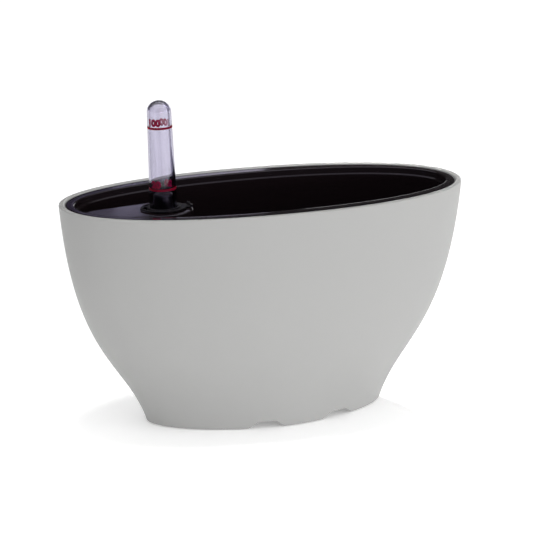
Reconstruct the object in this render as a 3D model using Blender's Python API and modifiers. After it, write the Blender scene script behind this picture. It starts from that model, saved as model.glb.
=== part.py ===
"""Oval self-watering planter with a float indicator, built for Blender 4.5.

The pale outer pot holds the water. The black liner hangs on a shelf inside the pot's lip, holds the
soil, and dips two perforated wells into the water. At one end of the liner a hollow shaft is closed
by a deck, and the water-level indicator plugs into the deck: a clear tube above, a slotted guide
below, and a float with a stem and a head that shows in the tube.

Metres, +Z up. The origin is on the ground under the middle of the pot, +X is its long axis, and the
indicator stands at the -X end.
"""
import math

import bmesh
import bpy
import numpy as np
from mathutils import Vector

MM = 0.001

# Clearances
SEAT_GAP = 0.3 * MM          # between faces that rest on each other
RUNNING_GAP = 0.75 * MM      # around the float in its guide
PUSH_GAP = 0.35 * MM         # around a piece that is pushed into a socket

# Outer pot: overall size and the flare of its wall
POT_LENGTH = 295 * MM
POT_WIDTH = 143 * MM
POT_HEIGHT = 160.5 * MM
FOOT_LENGTH = 176.6 * MM
FOOT_WIDTH = 89 * MM
RIM_EXPONENT = 2.15          # 2 is an ellipse, more is squarer
FOOT_EXPONENT = 1.76         # less than 2 is more pointed
LOW_HANDLE = (0.255, 0.289)  # the wall curve's lower handle: share of the flare, share of the height
HIGH_HANDLE = (0.863, 0.304)
POT_WALL = 3.0 * MM
POT_FLOOR = 3.0 * MM
LIP_WIDTH = 4.2 * MM
LIP_ROUND = 1.0 * MM
FOOT_RING_WIDTH = 5.0 * MM
FOOT_ROUND = 1.2 * MM
FOOT_RECESS = 6.0 * MM       # height of the hollow under the floor
FLOOR_FILLET = 4.0 * MM
SHELF_DEPTH = 2.8 * MM       # from the top of the lip down to the shelf that carries the liner
SHELF_REACH = 3.4 * MM       # how far the shelf stands in from the lip's inner face
SHELF_THICKNESS = 1.6 * MM

# Drain notches in the foot ring
NOTCH_PLACES = (-14 * MM, 42 * MM)
NOTCH_FOOT_WIDTH = 25 * MM
NOTCH_TOP_WIDTH = 12 * MM
NOTCH_HEIGHT = 4.4 * MM
NOTCH_ROUND = 1.3 * MM

# Drain plug in the pot's floor
DRAIN_X = 15 * MM
DRAIN_RADIUS = 6.0 * MM
PLUG_FLANGE_RADIUS = 9.5 * MM
PLUG_FLANGE_THICKNESS = 1.8 * MM
PLUG_ROUND = 0.6 * MM
PLUG_STEM_BELOW_FLOOR = 0.6 * MM
PLUG_GRIP_LENGTH = 12 * MM
PLUG_GRIP_THICKNESS = 2.6 * MM
PLUG_GRIP_HEIGHT = 7.0 * MM
SEAL_THICKNESS = 1.2 * MM
SEAL_WIDTH = 2.6 * MM
SEAL_ROUND = 0.35 * MM

# Inner liner
LINER_WALL = 2.0 * MM
LINER_FLOOR = 2.2 * MM
LINER_FLOOR_Z = 62 * MM      # top of the floor that the soil stands on
LINER_CORNER = 9.0 * MM
RIM_GAP = 0.4 * MM           # between the lip and the liner's rim
RIM_WIDTH = 10.3 * MM
RIM_END_GAIN = 4.3 * MM       # how much narrower the rim is at its two ends than along its sides
RIM_THICKNESS = 2.0 * MM
RIM_ROUND = 0.8 * MM
BAND_DEPTH = 5.0 * MM        # from the top of the lip down to the ledge
BAND_DRAFT = 0.4 * MM
LEDGE_WIDTH = 1.8 * MM

# Soil wells and drain holes in the liner's floor
WELL_PLACES = (-20 * MM, 50 * MM)
WELL_TOP_RADIUS = 16 * MM
WELL_FOOT_RADIUS = 12.5 * MM
WELL_FLOOR_GAP = 1.2 * MM    # between a well's foot and the pot's floor
WELL_SLOT_WIDTH = 2.6 * MM
WELL_SLOT_HEIGHT = 26 * MM
WELL_SLOT_FOOT = 5.0 * MM    # from the well's foot up to its slots
WELL_SLOT_PAIRS = 3
DRAIN_HOLE_RADIUS = 1.8 * MM
DRAIN_HOLE_PLACES = ((-46 * MM, 16 * MM), (15 * MM, 0.0), (15 * MM, 22 * MM), (78 * MM, 0.0),
                     (76 * MM, 12 * MM), (50 * MM, 22 * MM), (-20 * MM, 24 * MM))

# Shaft and deck at the indicator's end of the liner
INDICATOR_X = -74 * MM       # where the indicator's axis crosses the deck
SHAFT_RADIUS = 20.5 * MM     # round end of the shaft, about the indicator
SHAFT_TAIL_X = -145 * MM
SHAFT_TAIL_RADIUS = 10 * MM
DECK_DEPTH = 6.5 * MM        # from the top of the lip
DECK_THICKNESS = 2.0 * MM
DECK_EDGE_ROUND = 0.8 * MM
HOLE_SIDE_GAP = 0.9 * MM     # between the collar's hub and the side of the hole in the deck
HOLE_LENGTH = 30.8 * MM

# Indicator: clear tube and collar
INDICATOR_LEAN = math.radians(2.0)   # towards the -X end
TUBE_HEIGHT = 76.5 * MM        # from the deck to the top of the dome
TUBE_TOP_RADIUS = 8.4 * MM
TUBE_FOOT_RADIUS = 9.6 * MM
TUBE_WALL = 1.3 * MM
DOME_HEIGHT = 7.6 * MM
SOCKET_DEPTH = 8.0 * MM
HUB_WALL = 1.5 * MM
HUB_LIP = 0.5 * MM           # how far the hub stands above the plate
RIB_THICKNESS = 1.6 * MM
RIB_REACH = 1.3 * MM
PLATE_LENGTH = 33.6 * MM
PLATE_WIDTH = 27.6 * MM
PLATE_THICKNESS = 1.1 * MM
PLATE_ROUND = 0.3 * MM
FILL_SLOT_LENGTH = 30.6 * MM
FILL_SLOT_WIDTH = 25.0 * MM
FILL_SLOT_RIM = 0.4 * MM     # of the plate that stays around the hub
TAB_ROOT = 13.0 * MM         # from the indicator's axis to the tab's inner end, inside the plate
TAB_REACH = 20.0 * MM        # from the indicator's axis to the tab's outer end
TAB_WIDTH = 10.0 * MM
TAB_SETBACK = 0.1 * MM       # of the tab's two faces from the plate's two faces
TAB_BEAD = 1.1 * MM          # radius of the bead along the tab's outer end

# Indicator: guide, cap and float
GUIDE_RADIUS = 9.55 * MM
GUIDE_WALL = 1.1 * MM
GUIDE_FLOOR_GAP = 2.4 * MM   # from the cap down to the pot's floor, on the indicator's axis
GUIDE_SLOT_WIDTH = 2.6 * MM
GUIDE_SLOT_FOOT = 8.0 * MM
GUIDE_SLOT_HEIGHT = 58 * MM
GUIDE_SLOT_PAIRS = 2
CAP_FLANGE_THICKNESS = 1.6 * MM
CAP_SPIGOT_HEIGHT = 4.0 * MM
CAP_INLET_RADIUS = 1.9 * MM
CAP_ROUND = 0.4 * MM
FLOAT_HEIGHT = 34 * MM
FLOAT_ROUND = 1.6 * MM
STEM_RADIUS = 1.6 * MM
STEM_COLLAR_RADIUS = 4.0 * MM
STEM_COLLAR_THICKNESS = 1.4 * MM
STEM_FOOT_RADIUS = 2.5 * MM
STEM_FOOT_HEIGHT = 1.2 * MM
CLIP_RADIUS = 4.6 * MM
CLIP_THICKNESS = 1.4 * MM
HEAD_RADIUS = 6.8 * MM
HEAD_HEIGHT = 17 * MM
HEAD_ROUND = 1.2 * MM
HEAD_BORE_DEPTH = 8.0 * MM
HEAD_ABOVE_DECK = 11.0 * MM  # top of the head while the float rests on the cap

# Facets
OVAL_SEGMENTS = 64
OUTER_LEVELS = 10
INNER_LEVELS = 5
ROUND_STEPS = 24

# Heights and places that follow from the sizes above
POT_FLOOR_Z = FOOT_RECESS + POT_FLOOR
SHELF_Z = POT_HEIGHT - SHELF_DEPTH
SHELF_INSET = LIP_WIDTH + SHELF_REACH
RIM_INSET = LIP_WIDTH + RIM_GAP
RIM_UNDER_Z = SHELF_Z + SEAT_GAP
RIM_TOP_Z = RIM_UNDER_Z + RIM_THICKNESS
BAND_INSET = RIM_INSET + RIM_WIDTH
LEDGE_Z = POT_HEIGHT - BAND_DEPTH
LINER_INSET = BAND_INSET + BAND_DRAFT + LEDGE_WIDTH
DECK_Z = POT_HEIGHT - DECK_DEPTH
WELL_FOOT_Z = POT_FLOOR_Z + WELL_FLOOR_GAP
STEM_BORE = STEM_RADIUS + SEAT_GAP

SOCKET_RADIUS = TUBE_FOOT_RADIUS + PUSH_GAP
HUB_RADIUS = SOCKET_RADIUS + HUB_WALL
HOLE_WIDTH = 2 * (HUB_RADIUS + HOLE_SIDE_GAP)
PLATE_UNDER = SEAT_GAP
PLATE_TOP = PLATE_UNDER + PLATE_THICKNESS
SOCKET_FLOOR = PLATE_TOP + HUB_LIP - SOCKET_DEPTH
GUIDE_TOP = SOCKET_FLOOR - RIB_THICKNESS - SEAT_GAP
HUB_UNDER = GUIDE_TOP - SOCKET_DEPTH
CAP_UNDER = -(DECK_Z - POT_FLOOR_Z - GUIDE_FLOOR_GAP)
GUIDE_UNDER = CAP_UNDER + CAP_FLANGE_THICKNESS + SEAT_GAP
CAP_TOP = GUIDE_UNDER + CAP_SPIGOT_HEIGHT
CLIP_UNDER = CAP_TOP + SEAT_GAP + STEM_FOOT_HEIGHT + SEAT_GAP
FLOAT_UNDER = CLIP_UNDER + CLIP_THICKNESS + SEAT_GAP
FLOAT_TOP = FLOAT_UNDER + FLOAT_HEIGHT
FLOAT_RADIUS = GUIDE_RADIUS - GUIDE_WALL - RUNNING_GAP
HEAD_UNDER = HEAD_ABOVE_DECK - HEAD_HEIGHT


def start_scene():
    """Empties the scene and makes the two collections; returns the parts' and the cutters'."""
    for thing in list(bpy.data.objects):
        bpy.data.objects.remove(thing, do_unlink=True)
    parts = bpy.data.collections.new("oval_self_watering_planter")
    cutters = bpy.data.collections.new("cutters")
    bpy.context.scene.collection.children.link(parts)
    bpy.context.scene.collection.children.link(cutters)
    return parts, cutters


PARTS, CUTTERS = start_scene()


def material(name, color, roughness, metallic=0.0, alpha=1.0):
    """A Principled material of one colour."""
    made = bpy.data.materials.new(name)
    made.use_nodes = True
    shader = made.node_tree.nodes["Principled BSDF"]
    shader.inputs["Base Color"].default_value = (*color, 1.0)
    shader.inputs["Roughness"].default_value = roughness
    shader.inputs["Metallic"].default_value = metallic
    shader.inputs["Alpha"].default_value = alpha
    return made


def place(name, mesh, finish=None, parent=None):
    """Links a mesh as a part, or as a hidden cutter when it has no finish."""
    made = bpy.data.objects.new(name, mesh)
    if finish is None:
        CUTTERS.objects.link(made)
        made.hide_render = True
        made.display_type = "WIRE"
    else:
        PARTS.objects.link(made)
        mesh.materials.append(finish)
    made.parent = parent
    return made


def combine(body, other, operation="DIFFERENCE"):
    """Adds a Boolean of another object to a body."""
    step = body.modifiers.new(other.name, "BOOLEAN")
    step.object = other
    step.operation = operation
    step.solver = "EXACT"


def smooth(mesh, angle=35):
    """Shades a mesh smooth, with creases where faces meet more sharply than the angle."""
    mesh.shade_smooth()
    mesh.set_sharp_from_angle(angle=math.radians(angle))


def arc(across, up, radius, start, stop, count=2):
    """Points on an arc, as (across, up) pairs, from one angle in degrees to another."""
    angles = np.radians(np.linspace(start, stop, count + 1))
    return [(across + radius * math.cos(a), up + radius * math.sin(a)) for a in angles]


def flare(z):
    """Share of the pot's flare at a height: a cubic curve from the foot (0) to the rim (1)."""
    t = np.linspace(0, 1, 400)
    weights = (3 * t * (1 - t) ** 2, 3 * t * t * (1 - t), t ** 3)
    out = weights[0] * LOW_HANDLE[0] + weights[1] * HIGH_HANDLE[0] + weights[2]
    up = weights[0] * LOW_HANDLE[1] + weights[1] * HIGH_HANDLE[1] + weights[2]
    return float(np.interp(z / POT_HEIGHT, up, out))


def oval(z, inset):
    """Closed ring of points at a height, set in from the pot's outer surface.

    Rings further in than the pot's shelf, which are the liner's, reach further at the two ends.
    """
    share = flare(z)
    gain = (inset - SHELF_INSET) / (BAND_INSET - LINER_WALL - SHELF_INSET)
    end_inset = inset - RIM_END_GAIN * min(max(gain, 0), 1)
    long_half = (FOOT_LENGTH + share * (POT_LENGTH - FOOT_LENGTH)) / 2 - end_inset
    short_half = (FOOT_WIDTH + share * (POT_WIDTH - FOOT_WIDTH)) / 2 - inset
    level = min(max(z / POT_HEIGHT, 0), 1)
    power = 2 / (FOOT_EXPONENT + level * (RIM_EXPONENT - FOOT_EXPONENT))
    angle = np.linspace(0, 2 * math.pi, OVAL_SEGMENTS, endpoint=False)
    c, s = np.cos(angle), np.sin(angle)
    x = long_half * np.sign(c) * np.abs(c) ** power
    y = short_half * np.sign(s) * np.abs(s) ** power
    return np.column_stack([x, y, np.full(OVAL_SEGMENTS, z)])


def loft(name, profile):
    """Closed oval body through a profile of (inset, z) pairs, capped at its two ends.

    The profile runs up the outside and down the inside.
    """
    count = OVAL_SEGMENTS
    points = np.concatenate([oval(z, inset) for inset, z in profile])
    faces = [tuple(range(count - 1, -1, -1))]
    for level in range(len(profile) - 1):
        low, high = level * count, (level + 1) * count
        for i in range(count):
            j = (i + 1) % count
            faces.append((low + i, low + j, high + j, high + i))
    last = (len(profile) - 1) * count
    faces.append(tuple(range(last, last + count)))
    mesh = bpy.data.meshes.new(name)
    mesh.from_pydata(points.tolist(), [], faces)
    smooth(mesh)
    return mesh


def turned(name, profile, finish=None, parent=None, closed=False, steps=ROUND_STEPS):
    """Turned body: a profile of (radius, z) points, top to bottom on its outer side."""
    mesh = bpy.data.meshes.new(name)
    edges = [(i, i + 1) for i in range(len(profile) - 1)]
    if closed:
        edges.append((len(profile) - 1, 0))
    mesh.from_pydata([(radius, 0, z) for radius, z in profile], edges, [])
    made = place(name, mesh, finish, parent)
    screw = made.modifiers.new("turn", "SCREW")
    screw.axis = "Z"
    screw.angle = 2 * math.pi
    screw.steps = screw.render_steps = steps
    screw.use_merge_vertices = True
    screw.merge_threshold = 0.00001
    screw.use_smooth_shade = True
    return made


def prism(name, outline, low, high, finish=None, parent=None):
    """Upright body with a flat outline of (x, y) points, counter-clockwise from above."""
    shape = bmesh.new()
    base = shape.faces.new([shape.verts.new((x, y, low)) for x, y in outline])
    raised = bmesh.ops.extrude_face_region(shape, geom=[base])["geom"]
    corners = [item for item in raised if isinstance(item, bmesh.types.BMVert)]
    bmesh.ops.translate(shape, verts=corners, vec=Vector((0, 0, high - low)))
    bmesh.ops.recalc_face_normals(shape, faces=shape.faces)
    mesh = bpy.data.meshes.new(name)
    shape.to_mesh(mesh)
    shape.free()
    return place(name, mesh, finish, parent)


def block(name, size, centre, finish=None, parent=None, turn=0.0):
    """Box of a size about a centre, turned about Z."""
    shape = bmesh.new()
    bmesh.ops.create_cube(shape, size=1.0)
    bmesh.ops.scale(shape, vec=Vector(size), verts=shape.verts)
    mesh = bpy.data.meshes.new(name)
    shape.to_mesh(mesh)
    shape.free()
    made = place(name, mesh, finish, parent)
    made.location = centre
    made.rotation_euler = (0, 0, turn)
    return made


def cone(name, low_radius, high_radius, low, high, x=0.0, y=0.0, parent=None, steps=ROUND_STEPS):
    """Cone or cylinder between two heights, kept as a cutter."""
    shape = bmesh.new()
    bmesh.ops.create_cone(shape, cap_ends=True, segments=steps, radius1=low_radius,
                          radius2=high_radius, depth=high - low)
    mesh = bpy.data.meshes.new(name)
    shape.to_mesh(mesh)
    shape.free()
    made = place(name, mesh, parent=parent)
    made.location = (x, y, (low + high) / 2)
    return made


def bevel(body, width, segments=2, angle=35):
    """Rounds the edges of a body that are sharper than an angle."""
    step = body.modifiers.new("round", "BEVEL")
    step.width = width
    step.segments = segments
    step.limit_method = "ANGLE"
    step.angle_limit = math.radians(angle)


def lens(length, width, count=14):
    """Outline of two equal arcs that meet in points on the X axis."""
    a, b = length / 2, width / 2
    radius = (a * a + b * b) / (2 * b)
    reach = math.asin(a / radius)
    upper = [(radius * math.sin(t), radius * math.cos(t) - radius + b)
             for t in np.linspace(reach, -reach, count)]
    lower = [(-x, -y) for x, y in upper]
    return upper[:-1] + lower[:-1]


def keyhole(inset=0.0, count=14):
    """Plan of the shaft: a large and a small circle on the X axis and their common tangents."""
    big, small = SHAFT_RADIUS - inset, SHAFT_TAIL_RADIUS - inset
    lean = math.acos((big - small) / (INDICATOR_X - SHAFT_TAIL_X))
    front = math.pi - lean
    wide = [(INDICATOR_X + big * math.cos(t), big * math.sin(t))
            for t in np.linspace(-front, front, 2 * count)]
    tail = [(SHAFT_TAIL_X + small * math.cos(t), small * math.sin(t))
            for t in np.linspace(front, 2 * math.pi - front, count)]
    return wide + tail


def wall_heights(low, high, count=INNER_LEVELS):
    """Heights for the rings of a wall, closer together near its foot, where it bends most."""
    share = np.linspace(0, 1, count + 2)[1:-1]
    return [low + (high - low) * s ** 1.25 for s in share]


def make_outer_pot(finish):
    """Pot shell with foot ring, lip and liner shelf, then its notches and drain hole."""
    ring_under = FOOT_RING_WIDTH - FOOT_ROUND
    foot = [(FOOT_RING_WIDTH, FOOT_RECESS)]
    foot += arc(ring_under, FOOT_ROUND, FOOT_ROUND, 0, -90)
    foot += arc(FOOT_ROUND, FOOT_ROUND, FOOT_ROUND, -90, -180)
    lip_z = POT_HEIGHT - LIP_ROUND
    outside = [(0.0, z) for z in wall_heights(FOOT_ROUND, lip_z, OUTER_LEVELS)]
    lip = arc(LIP_ROUND, lip_z, LIP_ROUND, 180, 90) + arc(LIP_WIDTH - LIP_ROUND, lip_z, LIP_ROUND, 90, 0)
    shelf_under = SHELF_Z - SHELF_THICKNESS
    shelf = [(LIP_WIDTH, SHELF_Z), (SHELF_INSET, SHELF_Z), (SHELF_INSET, shelf_under),
             (POT_WALL, shelf_under - (SHELF_INSET - POT_WALL))]
    fillet_z = POT_FLOOR_Z + FLOOR_FILLET
    inside = [(POT_WALL, z) for z in reversed(wall_heights(fillet_z, shelf[-1][1]))]
    floor = arc(POT_WALL + FLOOR_FILLET, fillet_z, FLOOR_FILLET, 180, 270)
    pot = place("outer_pot", loft("outer_pot", foot + outside + lip + shelf + inside + floor), finish)
    for number, x in enumerate(NOTCH_PLACES, 1):
        combine(pot, make_notch(number, x))
    drain = cone("drain_hole", DRAIN_RADIUS, DRAIN_RADIUS, 0, POT_FLOOR_Z + POT_FLOOR, x=DRAIN_X)
    combine(pot, drain)
    return pot


def make_notch(number, x):
    """Trapezoid cutter that runs through both long sides of the foot ring."""
    half_foot, half_top = NOTCH_FOOT_WIDTH / 2, NOTCH_TOP_WIDTH / 2
    slope = (half_foot - half_top) / NOTCH_HEIGHT
    below = FOOT_RECESS
    outline = [(-half_top, NOTCH_HEIGHT), (-half_foot - slope * below, -below),
               (half_foot + slope * below, -below), (half_top, NOTCH_HEIGHT)]
    cutter = prism(f"notch_{number}", outline, -POT_WIDTH / 2, POT_WIDTH / 2)
    cutter.rotation_euler = (math.pi / 2, 0, 0)
    cutter.location = (x, 0, 0)
    bevel(cutter, NOTCH_ROUND, segments=3, angle=20)
    return cutter


def make_inner_liner(finish):
    """Liner shell, then the shaft with its deck, the wells and the drain holes."""
    under_inset = LINER_INSET - LINER_WALL
    band_under = BAND_INSET - LINER_WALL
    corner = LINER_CORNER + LINER_WALL
    corner_z = LINER_FLOOR_Z - LINER_FLOOR + corner
    step_z = LEDGE_Z - LINER_WALL
    outside = arc(under_inset + corner, corner_z, corner, -90, -180)
    outside += [(under_inset, z) for z in wall_heights(corner_z, step_z)]
    outside += [(under_inset, step_z), (band_under + BAND_DRAFT, step_z), (band_under, RIM_UNDER_Z)]
    edge = [(RIM_INSET, RIM_UNDER_Z)] + arc(RIM_INSET + RIM_ROUND, RIM_TOP_Z - RIM_ROUND, RIM_ROUND, 180, 90)
    edge += arc(BAND_INSET - RIM_ROUND, RIM_TOP_Z - RIM_ROUND, RIM_ROUND, 90, 0)
    ledge = [(BAND_INSET + BAND_DRAFT, LEDGE_Z), (LINER_INSET, LEDGE_Z)]
    inner_z = LINER_FLOOR_Z + LINER_CORNER
    inside = [(LINER_INSET, z) for z in reversed(wall_heights(inner_z, LEDGE_Z))]
    inside += arc(LINER_INSET + LINER_CORNER, inner_z, LINER_CORNER, 180, 270)
    liner = place("inner_liner", loft("inner_liner", outside + edge + ledge + inside), finish)
    add_shaft(liner)
    add_wells(liner)
    for number, (x, y) in enumerate(DRAIN_HOLE_PLACES, 1):
        for side in (-1, 1) if y else (1,):
            hole = cone(f"drain_{number}_{side}", DRAIN_HOLE_RADIUS, DRAIN_HOLE_RADIUS,
                        LINER_FLOOR_Z - 3 * LINER_FLOOR, LINER_FLOOR_Z + LINER_FLOOR, x=x, y=side * y, steps=10)
            combine(liner, hole)
    return liner


def add_shaft(liner):
    """Hollow shaft for the indicator, open below and closed above by the deck."""
    block_low = LINER_FLOOR_Z - LINER_FLOOR / 2
    shaft = prism("shaft_block", keyhole(), block_low, DECK_Z)
    bevel(shaft, DECK_EDGE_ROUND, segments=2, angle=60)
    mid_wall = LINER_INSET - LINER_WALL / 2
    combine(shaft, place("shaft_trim", loft("shaft_trim", trim_profile(mid_wall))), "INTERSECT")
    combine(liner, shaft, "UNION")
    hollow = prism("shaft_hollow", keyhole(LINER_WALL), LINER_FLOOR_Z - 3 * LINER_FLOOR,
                   DECK_Z - DECK_THICKNESS)
    combine(hollow, place("hollow_trim", loft("hollow_trim", trim_profile(LINER_INSET))), "INTERSECT")
    combine(liner, hollow)
    hole = prism("deck_hole", lens(HOLE_LENGTH, HOLE_WIDTH), DECK_Z - 2 * DECK_THICKNESS,
                 DECK_Z + DECK_THICKNESS)
    hole.location.x = INDICATOR_X
    combine(liner, hole)


def trim_profile(inset):
    """Upright profile at one inset, past the liner's floor and the deck."""
    low = LINER_FLOOR_Z - 4 * LINER_FLOOR
    return [(inset, z) for z in (low, *wall_heights(low, POT_HEIGHT), POT_HEIGHT)]


def add_wells(liner):
    """Perforated soil wells that reach down into the water."""
    for number, x in enumerate(WELL_PLACES, 1):
        top = LINER_FLOOR_Z - LINER_FLOOR / 2
        well = cone(f"well_{number}", WELL_FOOT_RADIUS, WELL_TOP_RADIUS, WELL_FOOT_Z, top, x=x)
        combine(liner, well, "UNION")
        inner = cone(f"well_hollow_{number}", WELL_FOOT_RADIUS - LINER_WALL, WELL_TOP_RADIUS - LINER_WALL,
                     WELL_FOOT_Z + LINER_WALL, LINER_FLOOR_Z + LINER_FLOOR, x=x)
        combine(liner, inner)
        for pair in range(WELL_SLOT_PAIRS):
            centre = (x, 0, WELL_FOOT_Z + WELL_SLOT_FOOT + WELL_SLOT_HEIGHT / 2)
            size = (3 * WELL_TOP_RADIUS, WELL_SLOT_WIDTH, WELL_SLOT_HEIGHT)
            slot = block(f"well_slot_{number}_{pair}", size, centre, turn=math.pi * pair / WELL_SLOT_PAIRS)
            combine(liner, slot)


def make_plug(finish):
    """Push-in drain plug with a grip, turned about the drain hole."""
    empty = bpy.data.objects.new("drain_axis", None)
    PARTS.objects.link(empty)
    empty.location = (DRAIN_X, 0, POT_FLOOR_Z)
    under = SEAT_GAP + SEAL_THICKNESS + SEAT_GAP
    top = under + PLUG_FLANGE_THICKNESS
    stem = DRAIN_RADIUS - PUSH_GAP
    stem_end = -POT_FLOOR - PLUG_STEM_BELOW_FLOOR
    profile = [(0.0, top)] + arc(PLUG_FLANGE_RADIUS - PLUG_ROUND, top - PLUG_ROUND, PLUG_ROUND, 90, 0)
    profile += [(PLUG_FLANGE_RADIUS, under), (stem, under)]
    profile += [(stem, stem_end + PLUG_ROUND), (stem - PLUG_ROUND, stem_end), (0.0, stem_end)]
    plug = turned("drain_plug", profile, finish, empty)
    centre = (0, 0, top + PLUG_GRIP_HEIGHT / 2 - PLUG_ROUND)
    grip = block("plug_grip", (PLUG_GRIP_LENGTH, PLUG_GRIP_THICKNESS, PLUG_GRIP_HEIGHT), centre, parent=empty)
    bevel(grip, PLUG_ROUND)
    combine(plug, grip, "UNION")
    return empty


def make_seal(finish, empty):
    """Rubber washer between the plug's flange and the pot's floor."""
    inner = DRAIN_RADIUS - PUSH_GAP + SEAT_GAP
    outer = inner + SEAL_WIDTH
    low, high = SEAT_GAP, SEAT_GAP + SEAL_THICKNESS
    profile = arc(outer - SEAL_ROUND, high - SEAL_ROUND, SEAL_ROUND, 90, 0)
    profile += arc(outer - SEAL_ROUND, low + SEAL_ROUND, SEAL_ROUND, 0, -90)
    profile += [(inner, low), (inner, high)]
    turned("plug_seal", profile, finish, empty, closed=True)


def make_tube(finish, empty):
    """Clear tapered tube with a closed dome."""
    dome_z = TUBE_HEIGHT - DOME_HEIGHT
    foot_z = SOCKET_FLOOR + SEAT_GAP
    angles = np.radians(np.linspace(90, 0, 8))
    outer = [(TUBE_TOP_RADIUS * math.cos(a), dome_z + DOME_HEIGHT * math.sin(a)) for a in angles]
    inner_top, inner_rise = TUBE_TOP_RADIUS - TUBE_WALL, DOME_HEIGHT - TUBE_WALL
    inner = [(inner_top * math.cos(a), dome_z + inner_rise * math.sin(a)) for a in reversed(angles)]
    foot = [(TUBE_FOOT_RADIUS, PLATE_TOP), (TUBE_FOOT_RADIUS, foot_z),
            (TUBE_FOOT_RADIUS - TUBE_WALL, foot_z), (TUBE_FOOT_RADIUS - TUBE_WALL, PLATE_TOP)]
    outer[0] = (0.0, outer[0][1])
    inner[-1] = (0.0, inner[-1][1])
    turned("indicator_tube", outer + foot + inner, finish, empty)


def make_collar(finish, seat, empty):
    """Lens-shaped plate flat on the deck, with a fill slot, a finger tab and the leaning hub."""
    collar = prism("indicator_collar", lens(PLATE_LENGTH, PLATE_WIDTH), PLATE_UNDER, PLATE_TOP, finish, seat)
    bevel(collar, PLATE_ROUND, segments=2)
    low, high = PLATE_UNDER - 2 * PLATE_THICKNESS, PLATE_TOP + 2 * PLATE_THICKNESS
    mid_wall = SOCKET_RADIUS + HUB_WALL / 2
    combine(collar, cone("plate_bore", mid_wall, mid_wall, low, high, parent=empty))
    slot = prism("fill_slot", lens(FILL_SLOT_LENGTH, FILL_SLOT_WIDTH), PLATE_UNDER - PLATE_THICKNESS,
                 PLATE_TOP + PLATE_THICKNESS, parent=seat)
    keep_radius = HUB_RADIUS + FILL_SLOT_RIM
    half = block("fill_slot_half", (PLATE_LENGTH, PLATE_WIDTH, 6 * PLATE_THICKNESS),
                 (PLATE_LENGTH / 2, 0, PLATE_UNDER), parent=seat)
    combine(slot, cone("fill_slot_keep", keep_radius, keep_radius, low, high, parent=empty))
    combine(slot, half)
    combine(collar, slot)
    combine(collar, make_hub(empty), "UNION")
    combine(collar, make_tab(seat), "UNION")
    return collar


def make_hub(empty):
    """Sleeve with a rib inside: the tube stands on the rib and the guide hangs below it."""
    top = PLATE_TOP + HUB_LIP
    rib = SOCKET_RADIUS - RIB_REACH
    rib_under = SOCKET_FLOOR - RIB_THICKNESS
    profile = [(SOCKET_RADIUS, top), (HUB_RADIUS - PLATE_ROUND, top), (HUB_RADIUS, top - PLATE_ROUND),
               (HUB_RADIUS, HUB_UNDER), (SOCKET_RADIUS, HUB_UNDER), (SOCKET_RADIUS, rib_under),
               (rib, rib_under), (rib, SOCKET_FLOOR), (SOCKET_RADIUS, SOCKET_FLOOR)]
    return turned("hub", profile, parent=empty, closed=True)


def make_tab(seat):
    """Flat tongue that runs on from the plate's tip and ends in a round bead to lift it by."""
    low, high = PLATE_UNDER + TAB_SETBACK, PLATE_TOP - TAB_SETBACK
    x = TAB_REACH - TAB_BEAD
    meet = 180 - math.degrees(math.asin((high - low - TAB_BEAD) / TAB_BEAD))
    outline = [(TAB_ROOT, low)] + arc(x, low + TAB_BEAD, TAB_BEAD, -90, meet, 12) + [(TAB_ROOT, high)]
    tab = prism("tab", outline, -TAB_WIDTH / 2, TAB_WIDTH / 2, parent=seat)
    tab.rotation_euler = (math.pi / 2, 0, 0)
    return tab


def make_guide(finish, empty):
    """Slotted pipe that the float rises in."""
    bore = GUIDE_RADIUS - GUIDE_WALL
    profile = [(bore, GUIDE_TOP), (GUIDE_RADIUS, GUIDE_TOP), (GUIDE_RADIUS, GUIDE_UNDER), (bore, GUIDE_UNDER)]
    guide = turned("float_guide", profile, finish, empty, closed=True)
    for pair in range(GUIDE_SLOT_PAIRS):
        centre = (0, 0, GUIDE_UNDER + GUIDE_SLOT_FOOT + GUIDE_SLOT_HEIGHT / 2)
        size = (3 * GUIDE_RADIUS, GUIDE_SLOT_WIDTH, GUIDE_SLOT_HEIGHT)
        turn = math.pi * (pair + 0.5) / GUIDE_SLOT_PAIRS
        combine(guide, block(f"guide_slot_{pair}", size, centre, parent=empty, turn=turn))


def make_guide_cap(finish, empty):
    """End cap whose spigot stands in the guide, with a water inlet through its middle."""
    spigot = GUIDE_RADIUS - GUIDE_WALL - PUSH_GAP
    flange_top = CAP_UNDER + CAP_FLANGE_THICKNESS
    profile = [(CAP_INLET_RADIUS, CAP_TOP), (spigot - CAP_ROUND, CAP_TOP), (spigot, CAP_TOP - CAP_ROUND),
               (spigot, flange_top), (GUIDE_RADIUS, flange_top), (GUIDE_RADIUS, CAP_UNDER + CAP_ROUND),
               (GUIDE_RADIUS - CAP_ROUND, CAP_UNDER), (CAP_INLET_RADIUS, CAP_UNDER)]
    turned("guide_cap", profile, finish, empty, closed=True)


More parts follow.
